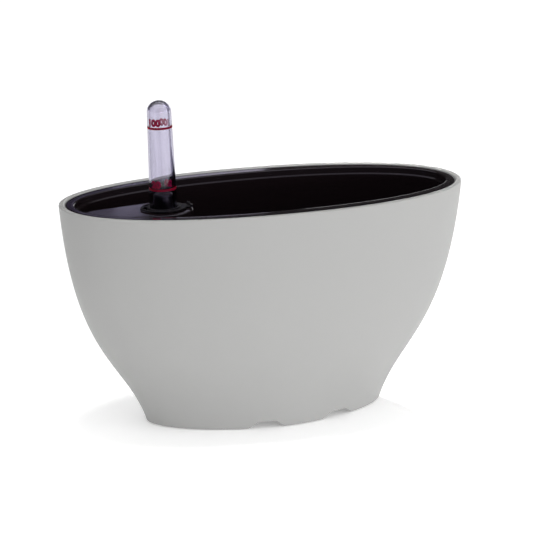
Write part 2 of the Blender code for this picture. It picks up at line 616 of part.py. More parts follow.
def make_float(foam, plastic, empty):
    """Foam float on its stem, between the stem's collar and a clip, and the head on top."""
    radius, edge = FLOAT_RADIUS, FLOAT_ROUND
    profile = [(STEM_BORE, FLOAT_TOP)] + arc(radius - edge, FLOAT_TOP - edge, edge, 90, 0)
    profile += arc(radius - edge, FLOAT_UNDER + edge, edge, 0, -90) + [(STEM_BORE, FLOAT_UNDER)]
    turned("float_body", profile, foam, empty, closed=True)

    collar_low = FLOAT_TOP + SEAT_GAP
    collar_high = collar_low + STEM_COLLAR_THICKNESS
    foot_low = CLIP_UNDER - SEAT_GAP - STEM_FOOT_HEIGHT
    stem_top = HEAD_UNDER + HEAD_BORE_DEPTH - SEAT_GAP
    profile = [(0.0, stem_top), (STEM_RADIUS, stem_top), (STEM_RADIUS, collar_high),
               (STEM_COLLAR_RADIUS, collar_high), (STEM_COLLAR_RADIUS, collar_low), (STEM_RADIUS, collar_low),
               (STEM_RADIUS, foot_low + STEM_FOOT_HEIGHT), (STEM_FOOT_RADIUS, foot_low + STEM_FOOT_HEIGHT),
               (STEM_FOOT_RADIUS, foot_low), (0.0, foot_low)]
    turned("float_stem", profile, plastic, empty, steps=16)

    clip_top = CLIP_UNDER + CLIP_THICKNESS
    profile = [(STEM_BORE, clip_top), (CLIP_RADIUS, clip_top), (CLIP_RADIUS, CLIP_UNDER),
               (STEM_BORE, CLIP_UNDER)]
    turned("float_clip", profile, plastic, empty, closed=True, steps=16)

    bore_end = HEAD_UNDER + HEAD_BORE_DEPTH
    profile = [(0.0, HEAD_ABOVE_DECK)]
    profile += arc(HEAD_RADIUS - HEAD_ROUND, HEAD_ABOVE_DECK - HEAD_ROUND, HEAD_ROUND, 90, 0)
    profile += [(HEAD_RADIUS, HEAD_UNDER), (STEM_BORE, HEAD_UNDER), (STEM_BORE, bore_end), (0.0, bore_end)]
    turned("float_head", profile, plastic, empty)


def make_indicator(clear, black, foam):
    """Everything on the indicator's leaning axis, and the plate that lies flat under it."""
    seat, empty = (bpy.data.objects.new(name, None) for name in ("indicator_seat", "indicator_axis"))
    for guide in (seat, empty):
        PARTS.objects.link(guide)
        guide.location = (INDICATOR_X, 0, DECK_Z)
    empty.rotation_euler = (0, -INDICATOR_LEAN, 0)
    make_tube(clear, empty)
    make_collar(black, seat, empty)
    make_guide(black, empty)
    make_guide_cap(black, empty)
    make_float(foam, black, empty)


def main():
    """Builds every piece with its material."""
    grey = material("pot_grey", (0.47, 0.47, 0.465), 0.42)
    black = material("gloss_black", (0.012, 0.010, 0.012), 0.15)
    clear = material("clear_tube", (0.86, 0.84, 0.92), 0.05, alpha=0.35)
    foam = material("float_foam", (0.75, 0.74, 0.70), 0.8)
    rubber = material("seal_rubber", (0.03, 0.03, 0.03), 0.7)
    make_outer_pot(grey)
    make_inner_liner(black)
    drain = make_plug(black)
    make_seal(rubber, drain)
    make_indicator(clear, black, foam)


main()
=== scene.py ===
"""Looks of the oval self-watering planter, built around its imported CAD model.

Fine surfaces stand for the CAD pieces and keep their sizes: the satin grey pot, the gloss black liner
with its shaft, deck and soil wells, the drain plug, and the clear indicator with its float. Metres,
+Z up, origin on the ground under the middle of the pot. The indicator stands at the -X end.
"""
import logging
import math
from collections.abc import Iterator
from contextlib import contextmanager
from dataclasses import dataclass, field
from enum import Enum
from functools import cache

import bmesh
import bpy
import numpy as np
from bpy.types import ID, Curve, Material, Mesh, Node, NodeSocket, NodeTree, Object
from mathutils import Matrix, Vector

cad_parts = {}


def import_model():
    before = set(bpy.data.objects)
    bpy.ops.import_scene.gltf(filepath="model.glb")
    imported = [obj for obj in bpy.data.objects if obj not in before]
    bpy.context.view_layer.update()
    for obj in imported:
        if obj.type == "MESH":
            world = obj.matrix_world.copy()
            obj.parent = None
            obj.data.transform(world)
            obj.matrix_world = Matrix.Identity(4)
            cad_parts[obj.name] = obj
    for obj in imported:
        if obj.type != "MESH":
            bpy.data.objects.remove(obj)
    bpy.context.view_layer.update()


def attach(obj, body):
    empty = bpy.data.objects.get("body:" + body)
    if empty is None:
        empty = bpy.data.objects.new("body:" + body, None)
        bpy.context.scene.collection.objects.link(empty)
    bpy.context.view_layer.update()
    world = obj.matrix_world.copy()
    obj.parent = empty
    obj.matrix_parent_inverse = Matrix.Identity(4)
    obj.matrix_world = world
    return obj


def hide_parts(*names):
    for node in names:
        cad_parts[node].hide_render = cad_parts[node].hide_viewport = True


LOG = logging.getLogger("planter")
MM = 0.001
WHITE = "#ffffff"
# Stands a flat shape on edge.
ON_EDGE = Matrix.Rotation(math.pi / 2, 4, "X")
# Points nearer than this are one point, on a grid and on a mesh made from a curve.
GRID_MERGE, CURVE_MERGE = 1e-7, 1e-6
# Numbers of the Mix node's two colour inputs and of its colour output.
MIX_A, MIX_B, MIX_OUT = 6, 7, 2
# Gap that stands in for faces that touch.
GAP = 0.3 * MM
# Where the indicator's axis meets the top of the deck, and how far it leans towards the end.
INDICATOR_X, DECK_Z, LEAN = -74 * MM, 154 * MM, math.radians(2.0)
# Level of the pot's floor, and the place of its drain hole along the pot.
POT_FLOOR_Z, DRAIN_X = 9 * MM, 15 * MM

Array = np.ndarray
Pair = tuple[float, float]
Triple = tuple[float, float, float]


class Body(Enum):
    """CAD bodies that pieces ride on."""

    POT = "pot"
    LINER = "liner"
    INDICATOR = "indicator"
    FLOAT = "float"
    PLUG = "drain_plug"


def linear(colour: str) -> tuple[float, float, float, float]:
    """Turns an sRGB hex colour into linear values.

    Args:
        colour: Six hex digits after a hash sign.

    Returns:
        Red, green, blue and full alpha, linear.
    """
    parts = [int(colour[i:i + 2], 16) / 255 for i in (1, 3, 5)]
    red, green, blue = (c / 12.92 if c <= 0.04045 else ((c + 0.055) / 1.055) ** 2.4 for c in parts)
    return red, green, blue, 1.0


def feed(node: Node, inputs: dict) -> None:
    """Sets and links a node's inputs.

    Args:
        node: The node.
        inputs: Input name or number to its value, or to the output that feeds it; a node stands for
            its first output.
    """
    for key, source in inputs.items():
        if isinstance(source, Node):
            source = source.outputs[0]
        if isinstance(source, NodeSocket):
            node.id_data.links.new(source, node.inputs[key])
        else:
            node.inputs[key].default_value = source


def add_node(tree: NodeTree, kind: str, inputs: dict | None = None,
             **settings: object) -> Node:
    """Adds a node with its settings and links.

    Args:
        tree: The node tree.
        kind: Name of the node's type, after the word ShaderNode.
        inputs: Its inputs, as for feed.
        **settings: The node's attributes.

    Returns:
        The node.
    """
    node = tree.nodes.new("ShaderNode" + kind)
    for key, value in settings.items():
        setattr(node, key, value)
    feed(node, inputs or {})
    return node


def new_material(name: str) -> tuple[Material, NodeTree, Node, NodeSocket]:
    """Starts a material.

    Args:
        name: Its name.

    Returns:
        The material, its node tree, its shader and its Object coordinates.
    """
    made = bpy.data.materials.new(name)
    made.use_nodes = True
    tree = made.node_tree
    return made, tree, tree.nodes["Principled BSDF"], add_node(tree, "TexCoord").outputs["Object"]


@dataclass(frozen=True)
class MouldedPlastic:
    """Injection-moulded plastic: one colour right through, with the mould's own surface.

    The roughness drifts both ways from its mean. The grain and the wave are the distances between the
    bumps of the skin and between its slow sink waves, and their reliefs are heights.
    """

    name: str
    colour: str
    roughness: float
    drift: float = 0.04
    grain: float = 0.5 * MM
    relief: float = 0.01 * MM
    wave: float = 30 * MM
    wave_relief: float = 0.0
    gloss_tint: str = WHITE
    ior: float = 1.5

    def build(self) -> Material:
        """Makes the material: drifting roughness and two scales of bump on Object coordinates.

        Returns:
            The material.
        """
        made, tree, shader, where = new_material(self.name)
        slow = add_node(tree, "TexNoise", {"Vector": where, "Scale": 1 / self.wave, "Detail": 2.0})
        fine = add_node(tree, "TexNoise", {"Vector": where, "Scale": 1 / self.grain, "Detail": 2.0})
        rough = add_node(tree, "MapRange", {
            "Value": slow, "To Min": self.roughness - self.drift, "To Max": self.roughness + self.drift})
        bump = add_node(tree, "Bump", {"Height": fine, "Distance": self.relief})
        if self.wave_relief:
            bump = add_node(tree, "Bump", {"Height": slow, "Distance": self.wave_relief, "Normal": bump})
        feed(shader, {"Base Color": linear(self.colour), "Roughness": rough, "IOR": self.ior,
                      "Specular Tint": linear(self.gloss_tint), "Normal": bump})
        return made


@dataclass(frozen=True)
class ClearPlastic:
    """Clear moulded polystyrene: hard and glossy, a little lilac through its thickness.

    Ripples and upright streaks are drawn out upwards by their stretch; the streaks are painted into the
    colour and stand for streaky reflections of the soft lights. A dark upright line is painted at one
    heading, and its heading and width are in degrees. Painted shade darkens the skin towards its edges, for
    the dark surroundings
    that the edges refract: the skin takes the edge shade colour between the two facing values of the edge
    shade span.
    """

    name: str
    colour: str
    roughness: float
    depth_colour: str
    depth: float
    reflection_streak_colour: str
    dark_line_colour: str
    edge_shade_colour: str
    edge_shade_span: Pair = (0.35, 0.85)
    dark_line_heading: float = -54.6
    dark_line_width: float = 11.0
    ripple: float = 6 * MM
    ripple_relief: float = 0.05 * MM
    ripple_stretch: float = 4.0
    reflection_streaks: float = 4 * MM
    reflection_streak_stretch: float = 100 / 3
    ior: float = 1.5

    def build(self) -> Material:
        """Makes the material: painted reflection streaks and a painted dark line run up a clear skin, which
        painted shade darkens to its edges.

        Returns:
            The material.
        """
        made, tree, shader, where = new_material(self.name)
        tall = add_node(tree, "Mapping", {"Vector": where, "Scale": (1.0, 1.0, 1 / self.ripple_stretch)})
        wave = add_node(tree, "TexNoise", {"Vector": tall, "Scale": 1 / self.ripple, "Detail": 1.0})
        bump = add_node(tree, "Bump", {"Height": wave, "Distance": self.ripple_relief})
        about = add_node(tree, "Mapping", {
            "Vector": where, "Location": (INDICATOR_X, 0.0, DECK_Z), "Rotation": (0.0, -LEAN, 0.0)},
            vector_type="TEXTURE")
        # Painted reflection: upright streaks of a darker and a lighter colour stand for the streaky
        # reflections of the soft lights.
        drawn = add_node(tree, "Mapping", {"Vector": about, "Scale": (1.0, 1.0, 1 / self.reflection_streak_stretch)})
        reflection_streaks = add_node(tree, "TexNoise", {"Vector": drawn, "Scale": 1 / self.reflection_streaks})
        streaked = add_node(tree, "Mix", {
            "Factor": reflection_streaks, MIX_A: linear(self.reflection_streak_colour), MIX_B: linear(self.colour)}, data_type="RGBA")
        # A dark upright line is painted at one heading round the tube, blended out over its width.
        turn = add_node(tree, "TexGradient", {"Vector": about}, gradient_type="RADIAL")
        off = add_node(tree, "Math", {0: turn.outputs["Fac"], 1: self.dark_line_heading / 360 + 0.5},
                       operation="SUBTRACT")
        away = add_node(tree, "Math", {0: off}, operation="ABSOLUTE")
        dark_line = add_node(tree, "MapRange", {
            "Value": away, "From Max": self.dark_line_width / 720}, interpolation_type="SMOOTHSTEP")
        skin = add_node(tree, "Mix", {
            "Factor": dark_line, MIX_A: linear(self.dark_line_colour), MIX_B: streaked.outputs[MIX_OUT]},
            data_type="RGBA")
        # Painted shade: the colour darkens towards the edges, standing in for the dark surroundings that the
        # edges refract.
        facing = add_node(tree, "LayerWeight")
        edge = add_node(tree, "MapRange", {
            "Value": facing.outputs["Facing"], "From Min": self.edge_shade_span[0], "From Max": self.edge_shade_span[1]})
        edge_shaded = add_node(tree, "Mix", {
            "Factor": edge, MIX_A: skin.outputs[MIX_OUT], MIX_B: linear(self.edge_shade_colour)},
            data_type="RGBA")
        feed(shader, {"Base Color": edge_shaded.outputs[MIX_OUT], "Roughness": self.roughness, "IOR": self.ior,
                      "Transmission Weight": 1.0, "Normal": bump})
        inside = add_node(tree, "VolumeAbsorption", {
            "Color": linear(self.depth_colour), "Density": 1 / self.depth})
        feed(tree.nodes["Material Output"], {"Volume": inside})
        return made


@dataclass(frozen=True)
class FoamOrRubber:
    """Closed-cell foam or rubber: matte, with cells or specks that show up close."""

    name: str
    colour: str
    dark: str
    cell: float
    relief: float
    roughness: float

    def build(self) -> Material:
        """Makes the material: a cell pattern darkens the colour between cells and dents the skin.

        Returns:
            The material.
        """
        made, tree, shader, where = new_material(self.name)
        cells = add_node(tree, "TexVoronoi", {"Vector": where, "Scale": 1 / self.cell})
        tone = add_node(tree, "Mix", {
            "Factor": cells, MIX_A: linear(self.colour), MIX_B: linear(self.dark)}, data_type="RGBA")
        bump = add_node(tree, "Bump", {"Height": cells, "Distance": self.relief}, invert=True)
        feed(shader, {"Base Color": tone.outputs[MIX_OUT], "Roughness": self.roughness, "Normal": bump})
        return made


@dataclass(frozen=True)
class PrintedInk:
    """Pad-printed ink: thin, half gloss and a little worn in patches; a share of the light glows through."""

    name: str
    colour: str
    worn: str
    glow: str
    through: float
    patch: float = 0.5 * MM
    roughness: float = 0.45

    def build(self) -> Material:
        """Makes the material: the cover drifts between two reds, and part of the light goes through.

        Returns:
            The material.
        """
        made, tree, shader, where = new_material(self.name)
        cover = add_node(tree, "TexNoise", {"Vector": where, "Scale": 1 / self.patch, "Detail": 1.0})
        tone = add_node(tree, "Mix", {
            "Factor": cover, MIX_A: linear(self.colour), MIX_B: linear(self.worn)}, data_type="RGBA")
        feed(shader, {"Base Color": tone.outputs[MIX_OUT], "Roughness": self.roughness})
        lit = add_node(tree, "BsdfTranslucent", {"Color": linear(self.glow)})
        both = add_node(tree, "MixShader", {"Fac": self.through, 1: shader, 2: lit})
        feed(tree.nodes["Material Output"], {"Surface": both})
        return made


Finish = MouldedPlastic | ClearPlastic | FoamOrRubber | PrintedInk

# Polypropylene from a finely eroded mould: satin, so the light slides over it in broad soft steps.
SATIN_GREY = MouldedPlastic("satin_grey_polypropylene", "#939392", 0.46, grain=0.6 * MM, relief=0.004 * MM)
# Polypropylene from a polished mould: nearly black, with clear reflections that look lilac.
GLOSS_BLACK = MouldedPlastic("gloss_black_polypropylene", "#120d0f", 0.08, drift=0.02, grain=0.8 * MM,
                             relief=0.0004 * MM, wave=40 * MM, wave_relief=0.02 * MM, gloss_tint="#eee6ff")
# The same plastic from a plainer mould: a soft sheen instead of clear reflections.
SATIN_BLACK = MouldedPlastic("satin_black_polypropylene", "#0b090b", 0.34, grain=0.8 * MM, relief=0.002 * MM,
                             gloss_tint="#eee6ff")
# Polystyrene from a polished mould, with a lilac cast where it is seen through; painted shade darkens its
# edges, and painted streaks and a painted dark line lie on its skin.
CLEAR_LILAC = ClearPlastic("clear_polystyrene", "#fbfaff", 0.01, depth_colour="#cbc7dc", depth=4.2 * MM,
                           reflection_streak_colour="#d3d0dc", dark_line_colour="#55506a", edge_shade_colour="#5d5876")
# Expanded polyethylene: a white foam whose cells are about half a millimetre across.
WHITE_FOAM = FoamOrRubber("polyethylene_foam", "#e9e7df", "#bdbab0", 0.6 * MM, 0.06 * MM, 0.85)
# Nitrile rubber: black and dull.
SEAL_RUBBER = FoamOrRubber("nitrile_rubber", "#1c1c1d", "#101011", 0.3 * MM, 0.01 * MM, 0.7)
# Pad-printing ink: crimson, and brighter where light comes through it.
CRIMSON_INK = PrintedInk("crimson_ink", "#7a0a33", "#6a092b", glow="#ff2e74", through=0.66)
# Opal acrylic sheet, matt rolled: even and dull, so it shows neither a grain nor a mirror image.
OPAL_ACRYLIC = MouldedPlastic("opal_acrylic", "#fbfbfb", 0.9, drift=0.0, relief=0.0)


@cache
def material(finish: Finish) -> Material:
    """Material of a finish, made the first time that it is asked for."""
    return finish.build()


def full_turn(count: int) -> Array:
    """Evenly spaced angles round a full turn."""
    return np.linspace(0, 2 * math.pi, count, endpoint=False)


def around(radius: Array | float, angle: Array, z: Array | float) -> Array:
    """Points round the Z axis: x and y are the radius times cosine and sine of the angle.

    Args:
        radius: Distances from the axis.
        angle: Angles about it.
        z: Heights.

    Returns:
        Array of points, in the common shape of the three.
    """
    x, y = radius * np.cos(angle), radius * np.sin(angle)
    return np.stack([x, y, z + 0 * x], axis=-1)


def arc(across: float, up: float, radius: float, start: float, stop: float, count: int = 8) -> Array:
    """Points on an arc about a centre, from one angle in degrees to another.

    Args:
        across: Centre's first coordinate.
        up: Centre's second coordinate.
        radius: Radius.
        start: First angle.
        stop: Last angle.
        count: Number of steps.

    Returns:
        Array of (across, up) pairs.
    """
    angle = np.radians(np.linspace(start, stop, count + 1))
    return np.column_stack([across + radius * np.cos(angle), up + radius * np.sin(angle)])


def straight(start: Pair, stop: Pair, count: int) -> Array:
    """Evenly spaced points between two points, without the two ends."""
    share = np.linspace(0, 1, count + 2)[1:-1, None]
    return np.array(start) * (1 - share) + np.array(stop) * share


def blend(start: Array, stop: Array, count: int) -> Array:
    """Rows that pass from one row to another: start * (1 - t) + stop * t, without the first."""
    share = np.linspace(0, 1, count + 1).reshape(-1, *[1] * start.ndim)[1:]
    return start * (1 - share) + stop * share


def heights(low: float, high: float, count: int, crowding: float = 1.2) -> Array:
    """Heights between two levels, closer together near the lower one, where the wall bends most."""
    return low + (high - low) * np.linspace(0, 1, count + 2)[1:-1] ** crowding


def upright(inset: float, levels: Array) -> Array:
    """Profile points at one inset."""
    return np.column_stack([np.full(len(levels), inset), levels])


def lens_reach(angle: Array, length: float, width: float) -> Array:
    """Radius from the middle of a lens of two arcs to its edge.

    The arcs have radius (a * a + b * b) / 2b for halves a and b, with centres b - radius off the axis.

    Args:
        angle: Directions.
        length: Length from point to point.
        width: Greatest width.

    Returns:
        The radii.
    """
    a, b = length / 2, width / 2
    radius = (a * a + b * b) / (2 * b)
    off = radius - b
    rise = np.abs(np.sin(angle))
    return -off * rise + np.sqrt(off * off * rise * rise + a * a)


@contextmanager
def editing(mesh: Mesh) -> Iterator[bmesh.types.BMesh]:
    """Opens a mesh for the editing tools and writes it back when the block ends.

    Args:
        mesh: The mesh.

    Yields:
        The open mesh.
    """
    shape = bmesh.new()
    shape.from_mesh(mesh)
    yield shape
    shape.to_mesh(mesh)
    shape.free()


@dataclass
class Surface:
    """Points and the quads between them, held as arrays until they become a mesh."""

    points: Array
    quads: Array

    @classmethod
    def grid(cls, points: Array, loop_rows: bool = False) -> "Surface":
        """Makes a surface from rows of points, each row closed on itself.

        Args:
            points: Array of rows, columns and xyz, with columns counter-clockwise from above.
            loop_rows: Whether the last row joins the first.

        Returns:
            The surface, which faces outwards where its rows run up the outside.
        """
        rows, columns = points.shape[:2]
        index = np.arange(rows * columns).reshape(rows, columns)
        index = np.hstack([index, index[:, :1]])
        if loop_rows:
            index = np.vstack([index, index[:1]])
        quads = np.stack([index[:-1, :-1], index[:-1, 1:], index[1:, 1:], index[1:, :-1]], axis=-1)
        return cls(points.reshape(-1, 3), quads.reshape(-1, 4))

    @classmethod
    def turned(cls, profile: Array, closed: bool = False, columns: int = 96) -> "Surface":
        """Turns a profile about the Z axis: each (radius, z) pair becomes a circle.

        Args:
            profile: Pairs that run up the outside and down the inside.
            closed: Whether the profile's end joins its start.
            columns: Number of points on each circle.

        Returns:
            The surface.
        """
        return cls.grid(around(profile[:, :1], full_turn(columns), profile[:, 1:]), closed)

    def moved(self, matrix: Matrix) -> "Surface":
        """The surface after a rigid move."""
        turn = np.array(matrix.to_3x3())
        return Surface(self.points @ turn.T + np.array(matrix.translation), self.quads)

    def mesh(self, name: str) -> Mesh:
        """Puts the arrays into a mesh and closes its poles.

        Args:
            name: The mesh's name.

        Returns:
            The mesh.
        """
        made = bpy.data.meshes.new(name)
        count = len(self.quads)
        made.vertices.add(len(self.points))
        made.vertices.foreach_set("co", self.points.astype(np.float32).ravel())
        made.loops.add(4 * count)
        made.loops.foreach_set("vertex_index", self.quads.astype(np.int32).ravel())
        made.polygons.add(count)
        made.polygons.foreach_set("loop_start", np.arange(0, 4 * count, 4, dtype=np.int32))
        made.update(calc_edges=True)
        with editing(made) as shape:
            bmesh.ops.remove_doubles(shape, verts=shape.verts, dist=GRID_MERGE)
        return made


def place(name: str, data: ID) -> Object:
    """Links a mesh, curve, light or camera to the scene as an object at the origin.

    Args:
        name: The object's name.
        data: What it holds.

    Returns:
        The object.
    """
    made = bpy.data.objects.new(name, data)
    bpy.context.scene.collection.objects.link(made)
    return made


def evaluated(thing: Object) -> Mesh:
    """New mesh of an object, with its modifiers applied."""
    return bpy.data.meshes.new_from_object(thing.evaluated_get(bpy.context.evaluated_depsgraph_get()))


def join(name: str, meshes: list[Mesh]) -> Mesh:
    """Puts several meshes into one.

    Args:
        name: The new mesh's name.
        meshes: The meshes, which are removed.

    Returns:
        The new mesh.
    """
    made = bpy.data.meshes.new(name)
    with editing(made) as shape:
        for mesh in meshes:
            shape.from_mesh(mesh)
            bpy.data.meshes.remove(mesh)
    return made


def carve(mesh: Mesh, cutter: Mesh) -> Mesh:
    """Cuts one closed mesh out of another with a Boolean.

    Args:
        mesh: The body, which is replaced.
        cutter: The tool, which is removed.

    Returns:
        The mesh that is left.
    """
    body, tool = place("carved", mesh), place("cutter", cutter)
    step = body.modifiers.new("carve", "BOOLEAN")
    step.object = tool
    step.operation = "DIFFERENCE"
    step.solver = "EXACT"
    done = evaluated(body)
    for thing, old in ((body, mesh), (tool, cutter)):
        bpy.data.objects.remove(thing)
        bpy.data.meshes.remove(old)
    return done


def mesh_of(curve: Curve) -> Mesh:
    """Turns a curve into a mesh without doubles.

    Args:
        curve: The curve, which is removed.

    Returns:
        The mesh.
    """
    drawn = place(curve.name, curve)
    made = evaluated(drawn)
    bpy.data.objects.remove(drawn)
    bpy.data.curves.remove(curve)
    with editing(made) as shape:
        bmesh.ops.remove_doubles(shape, verts=shape.verts, dist=CURVE_MERGE)
    return made


def flat_shape(name: str, outlines: list[Array], low: float, high: float, edge: float,
               matrix: Matrix | None = None) -> Mesh:
    """Plate with rounded edges: outlines filled by the even-odd rule, given thickness and bevelled.

    Args:
        name: The mesh's name.
        outlines: Closed outlines as arrays of (x, y) pairs; one inside another is a hole.
        low: Lower face.
        high: Upper face.
        edge: Radius of the rounded edges.
        matrix: Rigid move of the finished plate.

    Returns:
        The plate's mesh.
    """
    curve = bpy.data.curves.new(name, "CURVE")
    curve.dimensions = "2D"
    curve.fill_mode = "BOTH"
    curve.extrude = (high - low) / 2 - edge
    curve.bevel_depth = edge
    curve.bevel_resolution = 2
    curve.offset = -edge
    for outline in outlines:
        spline = curve.splines.new("POLY")
        spline.points.add(len(outline) - 1)
        flat = np.column_stack([outline, np.zeros(len(outline)), np.ones(len(outline))])
        spline.points.foreach_set("co", flat.astype(np.float32).ravel())
        spline.use_cyclic_u = True
    made = mesh_of(curve)
    with editing(made) as shape:
        bmesh.ops.recalc_face_normals(shape, faces=shape.faces)
    made.transform((matrix or Matrix()) @ Matrix.Translation((0, 0, (low + high) / 2)))
    return made


def shade(mesh: Mesh, finish: Finish, angle: float = math.radians(35)) -> Mesh:
    """Gives a mesh its material and shades it smooth, apart from its sharp edges.

    Args:
        mesh: The mesh.
        finish: Its finish.
        angle: Angle from which an edge is sharp.

    Returns:
        The same mesh.
    """
    mesh.materials.clear()
    mesh.materials.append(material(finish))
    mesh.shade_smooth()
    mesh.set_sharp_from_angle(angle=angle)
    return mesh


def finish_piece(name: str, mesh: Mesh, finish: Finish, body: Body, nodes: tuple[str, ...]) -> None:
    """Places a finished mesh, dresses it and ties it to the frame.

    Args:
        name: Piece's name.
        mesh: Its mesh.
        finish: Its finish.
        body: The CAD body it rides on.
        nodes: The CAD nodes it stands for.
    """
    mesh.name = name
    made = place(name, shade(mesh, finish))
    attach(made, body.value)
    if nodes:
        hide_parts(*nodes)
    LOG.info("%s: %d faces on %s", name, len(mesh.polygons), body.value)


@dataclass(frozen=True)
class OvalWall:
    """Outer surface of the pot: rings that grow from a pointed foot to a squarer rim.

    The liner's rings are the same ones, set in, and reach further at the ends by the gain.
    """

    length: float = 295 * MM
    width: float = 143 * MM
    height: float = 160.5 * MM
    foot_length: float = 176.6 * MM
    foot_width: float = 89 * MM
    rim_exponent: float = 2.15
    foot_exponent: float = 1.76
    low_handle: Pair = (0.255, 0.289)
    high_handle: Pair = (0.863, 0.304)
    end_gain: float = 4.3 * MM
    gain_insets: Pair = (7.6 * MM, 12.9 * MM)
    curve_steps: int = 4000
    longest_ray: float = 0.4
    halvings: int = 40

    def share(self, z: Array) -> Array:
        """Share of the flare at a height: a cubic curve from the foot (0) to the rim (1).

        Args:
            z: Heights.

        Returns:
            The shares.
        """
        t = np.linspace(0, 1, self.curve_steps)
        low, high, end = 3 * t * (1 - t) ** 2, 3 * t * t * (1 - t), t ** 3
        out = low * self.low_handle[0] + high * self.high_handle[0] + end
        up = low * self.low_handle[1] + high * self.high_handle[1] + end
        return np.interp(z / self.height, up, out)

    def halves(self, z: Array, inset: Array) -> tuple[Array, Array, Array]:
        """Measures of a ring, each of which grows by the flare's share or by the height.

        Args:
            z: Heights.
            inset: Distances in from the outer surface.

        Returns:
            Long half, short half and exponent.
        """
        share = self.share(z)
        gain = self.end_gain * np.clip((inset - self.gain_insets[0]) / np.ptp(self.gain_insets), 0, 1)
        long_half = (self.foot_length + share * (self.length - self.foot_length)) / 2 - inset + gain
        short_half = (self.foot_width + share * (self.width - self.foot_width)) / 2 - inset
        level = np.clip(z / self.height, 0, 1)
        return long_half, short_half, self.foot_exponent + level * (self.rim_exponent - self.foot_exponent)

    def ring(self, angle: Array, z: Array, inset: Array | float) -> Array:
        """Points of a superellipse: x and y are the halves times cosine and sine to a power.

        Args:
            angle: Places round the ring.
            z: Heights.
            inset: Distances in from the outer surface.

        Returns:
            Array of points, in the common shape of the three arrays.
        """
        long_half, short_half, exponent = self.halves(z, inset)
        c, s = np.cos(angle), np.sin(angle)
        x = long_half * np.sign(c) * np.abs(c) ** (2 / exponent)
        y = short_half * np.sign(s) * np.abs(s) ** (2 / exponent)
        return np.stack([x, y, z + 0 * x], axis=-1)

    def reach(self, angle: Array, z: Array, inset: float, centre_x: float) -> Array:
        """Distance from a point on the long axis out to the ring, found by halving.

        Args:
            angle: Directions.
            z: Heights.
            inset: Distance in from the outer surface.
            centre_x: Where the rays start.

        Returns:
            The distances.
        """
        long_half, short_half, exponent = self.halves(z, inset)
        near = np.zeros(np.broadcast(angle, z).shape)
        far = near + self.longest_ray
        for _ in range(self.halvings):
            middle = (near + far) / 2
            x = np.abs(centre_x + middle * np.cos(angle)) / long_half
            y = np.abs(middle * np.sin(angle)) / short_half
            inside = x ** exponent + y ** exponent < 1
            near, far = np.where(inside, middle, near), np.where(inside, far, middle)
        return near


WALL = OvalWall()


